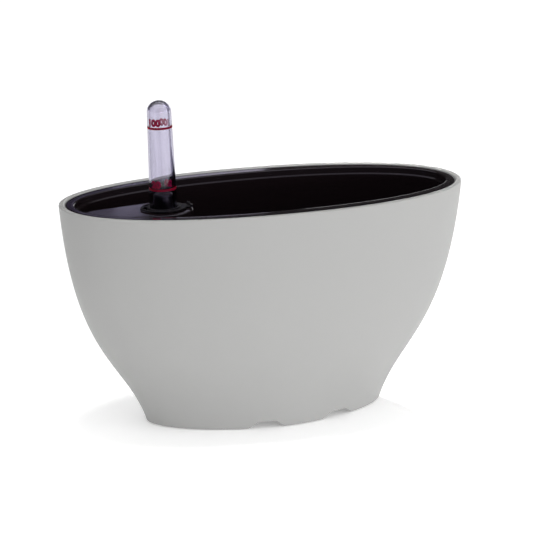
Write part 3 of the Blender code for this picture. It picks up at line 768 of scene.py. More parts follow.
@dataclass
class OuterPot:
    """Pot shell: foot ring with drain notches, flared wall, rounded lip and the liner's shelf."""

    wall: float = 3.0 * MM
    lip_width: float = 4.2 * MM
    lip_round: float = 1.0 * MM
    foot_ring: float = 5.0 * MM
    foot_round: float = 1.2 * MM
    recess: float = 6.0 * MM
    fillet: float = 4.0 * MM
    shelf_depth: float = 2.8 * MM
    shelf_reach: float = 3.4 * MM
    shelf_thickness: float = 1.6 * MM
    shelf_fillet: float = 0.2 * MM
    edge: float = 0.3 * MM
    notches: tuple[float, ...] = (-14 * MM, 42 * MM)
    notch_foot: float = 25 * MM
    notch_top: float = 12 * MM
    notch_height: float = 4.4 * MM
    notch_round: float = 0.7 * MM
    notch_fade: float = 14 * MM
    drain_radius: float = 6.0 * MM
    columns: int = 576

    def rise(self, x: Array) -> Array:
        """Height of the notches over a place along the pot.

        Each notch is a trapezoid: the lower of its top and its slope, and the higher of that and the
        ground, both blended by a quadratic over the corner's round.

        Args:
            x: Places along the pot.

        Returns:
            Heights.
        """
        slope = self.notch_height / ((self.notch_foot - self.notch_top) / 2)
        total = np.zeros_like(x)
        for centre in self.notches:
            side = (self.notch_foot / 2 - np.abs(x - centre)) * slope
            part = np.clip(0.5 + (side - self.notch_height) / (2 * self.notch_round), 0, 1)
            top = side * (1 - part) + self.notch_height * part - self.notch_round * part * (1 - part)
            part = np.clip(0.5 + top / (2 * self.notch_round), 0, 1)
            total += top * part + self.notch_round * part * (1 - part)
        return total

    def shell(self) -> Surface:
        """Carries the profile round the oval and closes it through the drain hole.

        Returns:
            The closed surface.
        """
        angle = full_turn(self.columns)
        ring_under, lip_z = self.foot_ring - self.foot_round, WALL.height - self.lip_round
        shelf_z = WALL.height - self.shelf_depth
        shelf_inset, shelf_under = self.lip_width + self.shelf_reach, shelf_z - self.shelf_thickness
        fillet_z = POT_FLOOR_Z + self.fillet
        wall_top = shelf_under - (shelf_inset - self.wall)
        profile = np.vstack([
            upright(self.foot_ring, np.linspace(self.recess - self.edge, self.foot_round, 5)[:-1]),
            arc(ring_under, self.foot_round, self.foot_round, 0, -90),
            straight((ring_under, 0), (self.foot_round, 0), 2),
            arc(self.foot_round, self.foot_round, self.foot_round, -90, -180),
            upright(0.0, np.linspace(self.foot_round, self.notch_fade, 14)[1:-1]),
            upright(0.0, heights(self.notch_fade, lip_z, 60)),
            arc(self.lip_round, lip_z, self.lip_round, 180, 90),
            straight((self.lip_round, WALL.height), (self.lip_width - self.lip_round, WALL.height), 2),
            arc(self.lip_width - self.lip_round, lip_z, self.lip_round, 90, 0),
            [(self.lip_width, shelf_z + self.shelf_fillet), (self.lip_width + self.shelf_fillet, shelf_z),
             (shelf_inset - self.edge, shelf_z), (shelf_inset, shelf_z - self.edge),
             (shelf_inset, shelf_under), (self.wall, wall_top)],
            upright(self.wall, heights(fillet_z, wall_top, 36)[::-1]),
            arc(self.wall + self.fillet, fillet_z, self.fillet, 180, 270),
        ])
        points = self.lift(profile, angle)
        floor, ceiling = (0, 0, POT_FLOOR_Z), (0, 0, self.recess)
        drain = around(self.drain_radius, angle, 0.0) + (DRAIN_X, 0, 0)
        mouth = drain + around(self.edge, angle, 0.0)
        under = WALL.ring(angle, np.full_like(angle, self.recess), self.foot_ring + self.edge)
        rows = [*blend(points[-1], mouth + floor, 7),
                drain + (0, 0, POT_FLOOR_Z - self.edge), drain + (0, 0, self.recess + self.edge),
                mouth + ceiling, *blend(mouth + ceiling, under, 7)]
        return Surface.grid(np.concatenate([points, np.stack(rows)]), loop_rows=True)

    def lift(self, profile: Array, angle: Array) -> Array:
        """Carries the profile round the oval, with the foot raised over the notches.

        The rise fades out towards a ceiling: the hollow's on the inner side of the foot ring, and the
        notches' own on its outer side. A point's place along the pot hangs on its height, so the raised
        rings are worked out twice.

        Args:
            profile: The (inset, z) pair of each row.
            angle: Places round the ring.

        Returns:
            Rows of points.
        """
        inset, z = profile[:, :1], profile[:, 1:]
        ceiling = np.where(inset >= self.foot_ring, self.recess, self.notch_fade)
        outside = np.arange(len(z))[:, None] < z.argmax()
        fade = np.clip((ceiling - z) / (ceiling - self.foot_round), 0, 1) * outside
        points = WALL.ring(angle[None, :], z, inset)
        for _ in range(2):
            points = WALL.ring(angle[None, :], z + self.rise(points[..., 0]) * fade, inset)
        return points

    def build(self) -> None:
        """Makes the pot and dresses it."""
        finish_piece("pot_shell", self.shell().mesh("pot"), SATIN_GREY, Body.POT, ("outer_pot",))


@dataclass
class InnerLiner:
    """Liner shell with rim, band and ledge, the indicator's shaft and deck, and the soil wells."""

    wall: float = 2.0 * MM
    floor: float = 2.2 * MM
    floor_z: float = 62 * MM
    corner: float = 9.0 * MM
    rim_inset: float = 4.6 * MM
    rim_width: float = 10.3 * MM
    rim_under_z: float = 158.0 * MM
    rim_thickness: float = 2.0 * MM
    rim_round: float = 0.8 * MM
    ledge_z: float = 155.5 * MM
    ledge_round: float = 0.5 * MM
    band_draft: float = 0.4 * MM
    ledge_width: float = 1.8 * MM
    deck_thickness: float = 2.0 * MM
    deck_round: float = 0.8 * MM
    shaft_radius: float = 20.5 * MM
    shaft_overlap: float = 0.1 * MM
    tail_x: float = -145 * MM
    tail_radius: float = 10 * MM
    hole_length: float = 30.8 * MM
    hole_width: float = 24.7 * MM
    hole_round: float = 0.3 * MM
    wells: tuple[float, ...] = (-20 * MM, 50 * MM)
    well_top: float = 16 * MM
    well_foot: float = 12.5 * MM
    well_foot_z: float = 10.2 * MM
    well_foot_round: float = 1.0 * MM
    well_inner_round: float = 1.5 * MM
    well_mouth_round: float = 0.6 * MM
    well_mouth_proud: float = 0.02 * MM
    well_mouth_rim: float = 0.1 * MM
    well_clearance: float = 0.5 * MM
    slot_pairs: int = 3
    slot_reach: float = 24 * MM
    slot_width: float = 2.6 * MM
    slot_height: float = 26 * MM
    slot_foot: float = 5.0 * MM
    slot_edge: float = 0.4 * MM
    drain_radius: float = 1.8 * MM
    drains: tuple[Pair, ...] = (
        (-46 * MM, 16 * MM), (15 * MM, 0.0), (15 * MM, 22 * MM), (78 * MM, 0.0),
        (76 * MM, 12 * MM), (50 * MM, 22 * MM), (-20 * MM, 24 * MM))
    columns: int = 360
    shaft_columns: int = 288
    cutter_columns: int = 96

    @property
    def band_inset(self) -> float:
        """Inset of the rim's inner edge."""
        return self.rim_inset + self.rim_width

    @property
    def inner(self) -> float:
        """Inset of the wall's inner face."""
        return self.band_inset + self.band_draft + self.ledge_width

    @property
    def deck_under(self) -> float:
        """Height of the deck's underside."""
        return DECK_Z - self.deck_thickness

    def keyhole(self, angle: Array, inset: Array | float) -> Array:
        """Plan radius of the shaft about its axis: a circle, then the tangent to the tail circle.

        Args:
            angle: Directions.
            inset: Distances in from the shaft's outer face.

        Returns:
            The radii.
        """
        big, small = self.shaft_radius - inset, self.tail_radius - inset
        front = math.pi - np.arccos((big - small) / (INDICATOR_X - self.tail_x))
        turn = np.abs((angle + math.pi) % (2 * math.pi) - math.pi)
        return np.where(turn <= front, big, big / np.cos(np.maximum(turn - front, 0)))

    def shaft_reach(self, angle: Array, z: Array, inset: Array | float,
                    limit: float) -> Array:
        """Plan radius of the shaft at a height, stopped by the liner's wall at an inset.

        Args:
            angle: Directions.
            z: Heights.
            inset: Distances in from the shaft's outer face.
            limit: The wall's inset, from the pot's outer surface.

        Returns:
            The radii.
        """
        return np.minimum(self.keyhole(angle, inset) + 0 * z, WALL.reach(angle, z, limit, INDICATOR_X))

    def shell(self) -> Mesh:
        """Closed shell of the liner with a plain floor, then the openings in its floor.

        Returns:
            The mesh.
        """
        under, band_under = self.inner - self.wall, self.band_inset - self.wall
        corner = self.corner + self.wall
        corner_z = self.floor_z - self.floor + corner
        step_z, top_z = self.ledge_z - self.wall, self.rim_under_z + self.rim_thickness
        inner_z, soft, edge = self.floor_z + self.corner, self.ledge_round, self.rim_round
        profile = np.vstack([
            arc(under + corner, corner_z, corner, -90, -180, 12),
            upright(under, heights(corner_z, step_z, 40)),
            [(under, step_z), (band_under + self.band_draft, step_z), (band_under, self.rim_under_z),
             (self.rim_inset, self.rim_under_z)],
            arc(self.rim_inset + edge, top_z - edge, edge, 180, 90),
            straight((self.rim_inset + edge, top_z), (self.band_inset - edge, top_z), 4),
            arc(self.band_inset - edge, top_z - edge, edge, 90, 0),
            arc(self.band_inset + self.band_draft + soft, self.ledge_z + soft, soft, 180, 270, 4),
            arc(self.inner - soft, self.ledge_z - soft, soft, 90, 0, 5),
            upright(self.inner, heights(inner_z, self.ledge_z - soft, 44)[::-1]),
            arc(self.inner + self.corner, inner_z, self.corner, 180, 270, 12),
        ])
        points = WALL.ring(full_turn(self.columns)[None, :], profile[:, 1:], profile[:, :1])
        body = Surface.grid(points).mesh("liner")
        with editing(body) as shape:
            rims = [edge for edge in shape.edges if edge.is_boundary]
            bmesh.ops.holes_fill(shape, edges=rims, sides=self.columns + 1)
            bmesh.ops.recalc_face_normals(shape, faces=shape.faces)
        return carve(body, self.openings())

    def openings(self) -> Mesh:
        """Cutters for the shaft, the wells and the drain holes in the liner's floor.

        Returns:
            The cutters as one mesh.
        """
        low, high = self.floor_z - 3 * self.floor, self.floor_z + self.floor
        angle = full_turn(self.cutter_columns)
        levels = np.linspace(low, self.deck_under, 40)[:, None]
        radius = self.shaft_reach(angle, levels, self.wall, self.inner)
        closed = np.pad(radius, ((1, 1), (0, 0)))
        shaft = around(closed, angle, np.pad(levels, ((1, 1), (0, 0)), mode="edge")) + (INDICATOR_X, 0, 0)
        cutters = [Surface.grid(shaft).mesh("shaft_cut")]
        throat = self.well_top - self.wall + self.well_clearance
        holes = [(x, 0.0, throat, 64) for x in self.wells]
        holes += [(x, side * y, self.drain_radius, 24)
                  for x, y in self.drains for side in ((-1, 1) if y else (1,))]
        for x, y, radius, columns in holes:
            profile = np.array([(0, low), (radius, low), (radius, high), (0, high)])
            pin = Surface.turned(profile, columns=columns)
            cutters.append(pin.moved(Matrix.Translation((x, y, 0))).mesh("pin"))
        return join("floor_cuts", cutters)

    def shaft(self) -> Mesh:
        """Hollow shaft with its deck: rows of plan radii up the outside, over the deck and down inside.

        Returns:
            The mesh.
        """
        angle = full_turn(self.shaft_columns)
        edge, soft, under = self.deck_round, self.hole_round, self.deck_under
        low = self.floor_z - self.floor + self.shaft_overlap
        outside = np.vstack([upright(0.0, np.linspace(low, DECK_Z - edge, 40)),
                             arc(edge, DECK_Z - edge, edge, 180, 90, 6)[1:]])
        outer = self.shaft_reach(angle, outside[:, 1:], outside[:, :1], self.inner - self.wall / 2)
        inside = np.linspace(under, low, 40)
        bore = self.shaft_reach(angle, inside[:, None], self.wall, self.inner - self.shaft_overlap)
        hole = lens_reach(angle, self.hole_length, self.hole_width)
        over, back = blend(outer[-1], hole + soft, 9), blend(hole, bore[0], 5)
        radii = np.vstack([outer, over, hole, hole, back, bore[1:]])
        levels = np.concatenate([outside[:, 1], np.full(len(over), DECK_Z), [DECK_Z - soft, under],
                                 np.full(len(back), under), inside[1:]])
        points = around(radii, angle, levels[:, None]) + (INDICATOR_X, 0, 0)
        return Surface.grid(points, loop_rows=True).mesh("shaft")

    def well(self, x: float) -> Mesh:
        """Tapered soil well with a rounded mouth and pairs of upright slots.

        Args:
            x: Its place along the pot.

        Returns:
            The mesh.
        """
        top, mouth, soft = self.floor_z - self.floor / 2, self.well_top - self.wall, self.well_mouth_round
        brim = self.floor_z + self.well_mouth_proud
        inner_foot, inner_z = self.well_foot - self.wall, self.well_foot_z + self.wall
        foot, inner = self.well_foot_round, self.well_inner_round
        profile = np.vstack([
            [(0, self.well_foot_z), (self.well_foot - foot, self.well_foot_z)],
            arc(self.well_foot - foot, self.well_foot_z + foot, foot, -90, 0, 5),
            straight((self.well_foot, self.well_foot_z + foot), (self.well_top, top), 6),
            [(self.well_top, top), (mouth + soft + self.well_mouth_rim, brim)],
            arc(mouth + soft, brim - soft, soft, 90, 180, 5),
            straight((mouth, top), (inner_foot, inner_z + inner), 6),
            arc(inner_foot - inner, inner_z + inner, inner, 0, -90, 5),
            [(0, inner_z)],
        ])
        body = Surface.turned(profile, columns=72).mesh("well")
        half, low = self.slot_width / 2, self.well_foot_z + self.slot_foot
        reach = self.slot_reach - half
        for pair in range(self.slot_pairs):
            outline = np.vstack([arc(side * reach, 0, half, start, start + 180, 6)
                                 for side, start in ((1, -90), (-1, 90))])
            turn = Matrix.Rotation(math.pi * pair / self.slot_pairs, 4, "Z")
            slot = flat_shape("slot", [outline], low, low + self.slot_height, self.slot_edge, turn)
            body = carve(body, slot)
        body.transform(Matrix.Translation((x, 0, 0)))
        return body

    def build(self) -> None:
        """Makes the liner and dresses it."""
        mesh = join("liner", [self.shell(), self.shaft()] + [self.well(x) for x in self.wells])
        finish_piece("liner_shell", mesh, GLOSS_BLACK, Body.LINER, ("inner_liner",))


@dataclass
class DrainPlug:
    """Push-in plug with a flat grip, and its rubber washer, in the pot's floor."""

    seal: float = 1.2 * MM
    seal_inner: float = 5.95 * MM
    seal_width: float = 2.6 * MM
    seal_round: float = 0.35 * MM
    flange: float = 9.5 * MM
    flange_thickness: float = 1.8 * MM
    flange_chamfer: float = 0.2 * MM
    stem: float = 5.65 * MM
    stem_end: float = -3.6 * MM
    edge: float = 0.6 * MM
    grip: Triple = (12 * MM, 2.6 * MM, 7.0 * MM)
    grip_corner: float = 2.0 * MM
    grip_edge: float = 0.5 * MM

    @property
    def seat(self) -> Matrix:
        """Place of the plug on the pot's floor."""
        return Matrix.Translation((DRAIN_X, 0, POT_FLOOR_Z))

    def make_plug(self) -> None:
        """Turned stem and flange, and the grip: a plate on edge with two round corners."""
        under, edge = 2 * GAP + self.seal, self.edge
        top = under + self.flange_thickness
        profile = np.vstack([
            [(0, self.stem_end), (self.stem - edge, self.stem_end), (self.stem, self.stem_end + edge),
             (self.stem, under), (self.flange - self.flange_chamfer, under)],
            arc(self.flange - edge, top - edge, edge, 0, 90, 6),
            [(0, top)],
        ])
        body = Surface.turned(profile).moved(self.seat).mesh("plug")
        long, thick, tall = self.grip
        half, corner = long / 2, self.grip_corner
        outline = np.vstack([
            *(arc(side * (half - corner), tall - corner, corner, start, start + 90, 8)
              for side, start in ((1, 0), (-1, 90))),
            [(-half, -edge), (half, -edge)],
        ])
        stand = self.seat @ Matrix.Translation((0, 0, top)) @ ON_EDGE
        grip = flat_shape("grip", [outline], -thick / 2, thick / 2, self.grip_edge, stand)
        mesh = join("plug", [body, grip])
        finish_piece("plug_body", mesh, GLOSS_BLACK, Body.PLUG, ("drain_plug",))

    def make_washer(self) -> None:
        """Washer with four round edges."""
        soft, inner, outer = self.seal_round, self.seal_inner, self.seal_inner + self.seal_width
        low, high = GAP + soft, GAP + self.seal - soft
        corners = ((outer - soft, low, -90), (outer - soft, high, 0), (inner + soft, high, 90),
                   (inner + soft, low, 180))
        profile = np.vstack([arc(across, up, soft, start, start + 90, 5) for across, up, start in corners])
        ring = Surface.turned(profile, closed=True).moved(self.seat).mesh("seal")
        finish_piece("plug_washer", ring, SEAL_RUBBER, Body.PLUG, ("plug_seal",))

    def build(self) -> None:
        """Makes the plug and its washer."""
        self.make_plug()
        self.make_washer()


@dataclass
class Indicator:
    """Water-level indicator on its leaning axis: tube, marks, collar, guide, cap and float.

    Heights are along the axis, from the top of the deck. The stem's foot and collar and the clip are
    (radius, thickness). Each mark is a numeral and the height of its line. The faces are the headings
    of the numerals, in degrees as the lines' span is, and how far they stand above that height. The
    skin is how far the two sides of a line stand off the tube.
    """

    tube_height: float = 76.5 * MM
    tube_top: float = 8.4 * MM
    tube_foot: float = 9.6 * MM
    tube_wall: float = 1.3 * MM
    dome: float = 7.6 * MM
    socket_depth: float = 8.0 * MM
    hub_wall: float = 1.5 * MM
    hub_lip: float = 0.5 * MM
    push_gap: float = 0.35 * MM
    rib: float = 1.6 * MM
    rib_reach: float = 1.3 * MM
    edge: float = 0.3 * MM
    plate: Pair = (33.6 * MM, 27.6 * MM)
    plate_thickness: float = 1.1 * MM
    slot: Pair = (30.6 * MM, 25.0 * MM)
    slot_rim: float = 0.4 * MM
    slot_step: int = 8
    tab_root: float = 13.0 * MM
    tab_reach: float = 20.0 * MM
    tab_width: float = 10.0 * MM
    tab_setback: float = 0.1 * MM
    tab_bead: float = 1.1 * MM
    guide_radius: float = 9.55 * MM
    guide_wall: float = 1.1 * MM
    guide_floor_gap: float = 2.4 * MM
    guide_slot: Pair = (2.6 * MM, 58 * MM)
    guide_slot_foot: float = 8.0 * MM
    guide_slot_edge: float = 0.1 * MM
    guide_slot_headings: Pair = (45.0, 135.0)
    cap_flange: float = 1.6 * MM
    cap_spigot: float = 4.0 * MM
    cap_inlet: float = 1.9 * MM
    cap_round: float = 0.4 * MM
    float_height: float = 34 * MM
    float_round: float = 1.6 * MM
    running_gap: float = 0.75 * MM
    stem: float = 1.6 * MM
    stem_foot: Pair = (2.5 * MM, 1.2 * MM)
    stem_collar: Pair = (4.0 * MM, 1.4 * MM)
    clip: Pair = (4.6 * MM, 1.4 * MM)
    head_radius: float = 6.8 * MM
    head_height: float = 17 * MM
    head_top: float = 11.0 * MM
    head_bore: float = 8.0 * MM
    head_round: float = 1.2 * MM
    marks: dict[str, float] = field(default_factory=lambda: {"100": 58.4 * MM, "20": 15.1 * MM})
    mark_line: float = 1.6 * MM
    mark_span: Pair = (-222.0, 2.0)
    mark_skin: Pair = (0.02 * MM, 0.07 * MM)
    mark_size: float = 6.2 * MM
    mark_weight: float = 0.52 * MM
    mark_lift: float = 0.06 * MM
    mark_step: float = 0.6 * MM
    mark_faces: dict[float, float] = field(default_factory=lambda: {-137.0: 1.9 * MM, 41.0: -0.9 * MM})

    @property
    def seat(self) -> Matrix:
        """Place of the plate, which lies flat on the deck."""
        return Matrix.Translation((INDICATOR_X, 0, DECK_Z))

    @property
    def axis(self) -> Matrix:
        """Place and lean of the indicator's axis."""
        return self.seat @ Matrix.Rotation(-LEAN, 4, "Y")

    @property
    def plate_top(self) -> float:
        """Height of the plate's top."""
        return GAP + self.plate_thickness

    @property
    def socket(self) -> float:
        """Radius of the collar's sockets."""
        return self.tube_foot + self.push_gap

    @property
    def hub(self) -> float:
        """Outer radius of the collar's hub."""
        return self.socket + self.hub_wall

    @property
    def socket_floor(self) -> float:
        """Height that the tube stands on."""
        return self.plate_top + self.hub_lip - self.socket_depth

    @property
    def guide_top(self) -> float:
        """Height of the guide's upper end."""
        return self.socket_floor - self.rib - GAP

    @property
    def bore(self) -> float:
        """Inner radius of the guide."""
        return self.guide_radius - self.guide_wall

    @property
    def cap_under(self) -> float:
        """Height of the cap's underside."""
        return -(DECK_Z - POT_FLOOR_Z - self.guide_floor_gap)

    @property
    def guide_under(self) -> float:
        """Height of the guide's lower end."""
        return self.cap_under + self.cap_flange + GAP

    @property
    def clip_under(self) -> float:
        """Height of the clip's underside, over the stem's foot."""
        return self.guide_under + self.cap_spigot + GAP + self.stem_foot[1] + GAP

    @property
    def float_under(self) -> float:
        """Height of the foam's underside."""
        return self.clip_under + self.clip[1] + GAP

    def tube_radius(self, height: Array) -> Array:
        """Outer radius of the tube at a height below its dome."""
        share = np.clip((height - self.plate_top) / (self.tube_height - self.dome - self.plate_top), 0, 1)
        return self.tube_foot + share * (self.tube_top - self.tube_foot)

    def turned(self, name: str, profile: Array, closed: bool = False,
               columns: int = 96) -> Mesh:
        """Turns a profile about the leaning axis."""
        return Surface.turned(profile, closed, columns).moved(self.axis).mesh(name)

    def make_tube(self) -> None:
        """Tapered tube with a dome whose section is a quarter ellipse, of even wall."""
        top, foot, wall = self.tube_height - self.dome, self.socket_floor + GAP, self.tube_wall
        inner_foot, turn = self.tube_foot - wall, np.radians(np.linspace(0, 90, 20))
        outer, inner = (np.column_stack([(self.tube_top - less) * np.cos(turn),
                                         top + (self.dome - less) * np.sin(turn)]) for less in (0, wall))
        outer[-1, 0] = inner[-1, 0] = 0.0
        profile = np.vstack([
            inner[::-1],
            straight(inner[0], (inner_foot, self.plate_top), 12),
            [(inner_foot, self.plate_top), (inner_foot, foot), (self.tube_foot, foot),
             (self.tube_foot, self.plate_top)],
            straight((self.tube_foot, self.plate_top), outer[0], 12),
            outer,
        ])
        tube = self.turned("tube", profile, columns=144)
        finish_piece("tube_clear", tube, CLEAR_LILAC, Body.INDICATOR, ("indicator_tube",))

    def mark_lines(self) -> list[Mesh]:
        """Printed lines: thin strips that hug the tube and leave its back clear.

        Returns:
            The meshes of the lines.
        """
        lines = []
        angle = np.radians(np.linspace(*self.mark_span, 121))
        for height in self.marks.values():
            z = np.array([-1, 1, 1, -1])[:, None] * self.mark_line / 2 + height
            radius = self.tube_radius(z) + np.repeat(self.mark_skin, 2)[:, None]
            rows = around(radius, angle, z).transpose(1, 0, 2)
            ends = [np.repeat(rows[i].mean(axis=0)[None, None], 4, axis=1) for i in (0, -1)]
            strip = Surface.grid(np.concatenate([ends[0], rows, ends[1]]))
            lines.append(strip.moved(self.axis).mesh("line"))
        return lines

    def numeral(self, text: str, height: float, heading: float) -> Mesh:
        """Numeral wrapped round the tube: x becomes an angle and y a height on the taper.

        Args:
            text: The digits.
            height: Height of their foot.
            heading: Angle that their middle faces.

        Returns:
            The mesh of the print.
        """
        curve = bpy.data.curves.new("digits", "FONT")
        curve.body = text
        curve.size = self.mark_size
        curve.align_x = "CENTER"
        curve.offset = self.mark_weight
        curve.resolution_u = 6
        flat = mesh_of(curve)
        with editing(flat) as shape:
            while long := [edge for edge in shape.edges if edge.calc_length() > self.mark_step]:
                bmesh.ops.subdivide_edges(shape, edges=long, cuts=1)
                bmesh.ops.triangulate(shape, faces=shape.faces)
        points = np.empty(len(flat.vertices) * 3, np.float32)
        flat.vertices.foreach_get("co", points)
        across, up = points[::3], points[1::3]
        z = height + up
        bent = around(self.tube_radius(z) + self.mark_lift, heading + across / self.tube_top, z)
        flat.vertices.foreach_set("co", bent.astype(np.float32).ravel())
        flat.transform(self.axis)
        flat.update()
        return flat

    def make_marks(self) -> None:
        """Rings and numerals of the water scale."""
        prints = self.mark_lines()
        for text, height in self.marks.items():
            for heading, rise in self.mark_faces.items():
                prints.append(self.numeral(text, height + rise, math.radians(heading)))
        finish_piece("tube_marks", join("marks", prints), CRIMSON_INK, Body.INDICATOR, ())

    def make_plate(self) -> Mesh:
        """Lens-shaped plate with a round bore, and a fill slot between the bore and a smaller lens.

        Returns:
            The mesh.
        """
        angle = full_turn(128)
        across = np.array([np.cos(angle), np.sin(angle)])
        rim = (lens_reach(angle, *self.plate) * across).T
        bore = ((self.socket + self.hub_wall / 2) * across).T
        keep = self.hub + self.slot_rim
        lobe = np.linspace(math.pi / 2, 3 * math.pi / 2, 400)
        lobe = lobe[lens_reach(lobe, *self.slot) > keep + self.edge]
        outer = around(lens_reach(lobe, *self.slot), lobe, 0.0)[::self.slot_step, :2]
        inner = around(keep, lobe, 0.0)[::-self.slot_step, :2]
        outlines = [rim, bore, np.vstack([outer, inner])]
        return flat_shape("plate", outlines, GAP, self.plate_top, self.edge, self.seat)

    def make_hub(self) -> Mesh:
        """Leaning hub through the plate, with a rib between its two sockets.

        Returns:
            The mesh.
        """
        top, under, soft = self.plate_top + self.hub_lip, self.guide_top - self.socket_depth, self.edge
        rib, rib_under = self.socket - self.rib_reach, self.socket_floor - self.rib
        profile = np.vstack([
            [(self.socket, under), (self.hub, under)],
            arc(self.hub - soft, top - soft, soft, 0, 90, 5),
            arc(self.socket + soft, top - soft, soft, 90, 180, 5),
            [(self.socket, self.socket_floor), (rib, self.socket_floor), (rib, rib_under),
             (self.socket, rib_under)],
        ])
        return self.turned("hub", profile, closed=True, columns=128)

    def make_tab(self) -> Mesh:
        """Finger tab: a flat bar whose end is a round bead.

        Returns:
            The mesh.
        """
        low, high = GAP + self.tab_setback, self.plate_top - self.tab_setback
        x, bead = self.tab_reach - self.tab_bead, self.tab_bead
        meet = 180 - math.degrees(math.asin((high - low - bead) / bead))
        outline = np.vstack([[(self.tab_root, low)], arc(x, low + bead, bead, -90, meet, 32),
                             [(self.tab_root, high)]])
        stand = self.seat @ ON_EDGE
        return flat_shape("tab", [outline], -self.tab_width / 2, self.tab_width / 2, self.edge, stand)

    def make_collar(self) -> None:
        """Plate, hub and tab in one piece."""
        mesh = join("collar", [self.make_plate(), self.make_hub(), self.make_tab()])
        finish_piece("collar_plate", mesh, SATIN_BLACK, Body.INDICATOR, ("indicator_collar",))

    def make_guide(self) -> None:
        """Pipe that the float rises in, with two pairs of upright slots."""
        outer, low, high = self.guide_radius, self.guide_under, self.guide_top
        profile = np.array([(self.bore, low), (outer, low), (outer, high), (self.bore, high)])
        body = Surface.turned(profile, closed=True).mesh("guide")
        half, tall = self.guide_slot[0] / 2, self.guide_slot[1] / 2
        middle = low + self.guide_slot_foot + tall
        outline = np.vstack([arc(0, middle + side * (tall - half), half, start, start + 180, 8)
                             for side, start in ((1, 0), (-1, 180))])
        for heading in self.guide_slot_headings:
            turn = Matrix.Rotation(math.radians(heading), 4, "Z") @ ON_EDGE
            slot = flat_shape("guide_slot", [outline], -2 * outer, 2 * outer, self.guide_slot_edge, turn)
            body = carve(body, slot)
        body.transform(self.axis)
        finish_piece("guide_pipe", body, SATIN_BLACK, Body.INDICATOR, ("float_guide",))

    def make_cap(self) -> None:
        """Cap in the guide's foot: a flange, a spigot and the inlet through both."""
        under, outer, soft = self.cap_under, self.guide_radius, self.cap_round
        spigot, flange_top = self.bore - self.push_gap, under + self.cap_flange
        top = self.guide_under + self.cap_spigot
        profile = np.vstack([
            [(self.cap_inlet, under)], arc(outer - soft, under + soft, soft, -90, 0, 5),
            [(outer, flange_top), (spigot, flange_top)], arc(spigot - soft, top - soft, soft, 0, 90, 5),
            [(self.cap_inlet, top)],
        ])
        mesh = self.turned("cap", profile, closed=True)
        finish_piece("guide_end_cap", mesh, SATIN_BLACK, Body.INDICATOR, ("guide_cap",))

    def make_foam(self) -> None:
        """Foam float with two round edges and a bore for the stem."""
        bore, soft, radius = self.stem + GAP, self.float_round, self.bore - self.running_gap
        low, high = self.float_under, self.float_under + self.float_height
        profile = np.vstack([[(bore, low)], arc(radius - soft, low + soft, soft, -90, 0),
                             arc(radius - soft, high - soft, soft, 0, 90), [(bore, high)]])
        mesh = self.turned("foam", profile, closed=True)
        finish_piece("float_foam_body", mesh, WHITE_FOAM, Body.FLOAT, ("float_body",))

    def make_stem(self) -> None:
        """Stem with a foot below the clip and a collar on top of the foam, and the clip."""
        stem, (foot, foot_height), (collar, collar_height) = self.stem, self.stem_foot, self.stem_collar
        low, high = self.clip_under - GAP - foot_height, self.float_under + self.float_height + GAP
        top = self.head_top - self.head_height + self.head_bore - GAP
        profile = np.array([
            (0, low), (foot, low), (foot, low + foot_height), (stem, low + foot_height),
            (stem, high), (collar, high), (collar, high + collar_height), (stem, high + collar_height),
            (stem, top), (0, top)])
        mesh = self.turned("stem", profile, columns=48)
        finish_piece("float_rod", mesh, SATIN_BLACK, Body.FLOAT, ("float_stem",))

        bore, low, (outer, thick) = stem + GAP, self.clip_under, self.clip
        profile = np.array([(bore, low), (outer, low), (outer, low + thick), (bore, low + thick)])
        mesh = self.turned("clip", profile, closed=True, columns=48)
        finish_piece("float_washer", mesh, SATIN_BLACK, Body.FLOAT, ("float_clip",))

    def make_head(self) -> None:
        """Head that shows in the tube, with a blind bore for the stem."""
        bore, under, soft = self.stem + GAP, self.head_top - self.head_height, self.head_round
        profile = np.vstack([
            [(0, under + self.head_bore), (bore, under + self.head_bore), (bore, under),
             (self.head_radius, under)],
            arc(self.head_radius - soft, self.head_top - soft, soft, 0, 90), [(0, self.head_top)],
        ])
        finish_piece("float_top", self.turned("head", profile), SATIN_BLACK, Body.FLOAT, ("float_head",))

    def build(self) -> None:
        """Makes and dresses every piece of the indicator."""
        self.make_tube()
        self.make_marks()
        self.make_collar()
        self.make_guide()
        self.make_cap()
        self.make_foam()
        self.make_stem()
        self.make_head()


@dataclass(frozen=True)
class SoftBox:
    """Rectangular soft light at a place, which faces the point that it aims at.

    The power is in watts. Shiny faces mirror it and matte ones are lit by it, or not. The roll turns it
    about its line to that point, and the spread is the angle that its grid lets light out in, in degrees.
    """

    name: str
    place: Triple
    aim: Triple
    size: Pair
    power: float
    colour: str = WHITE
    mirrored: bool = True
    lit: bool = True
    roll: float = 0.0
    spread: float = 180.0

    def build(self) -> None:
        """Adds the light to the scene."""
        lamp = bpy.data.lights.new(self.name, "AREA")
        lamp.shape = "RECTANGLE"
        lamp.size, lamp.size_y = self.size
        lamp.energy = self.power
        lamp.spread = math.radians(self.spread)
        lamp.color = linear(self.colour)[:3]
        made = place(self.name, lamp)
        made.visible_glossy, made.visible_diffuse = self.mirrored, self.lit
        made.location = self.place
        turn = (Vector(self.aim) - Vector(self.place)).to_track_quat("-Z", "Y").to_matrix()
        made.rotation_euler = (turn @ Matrix.Rotation(math.radians(self.roll), 3, "Z")).to_euler()


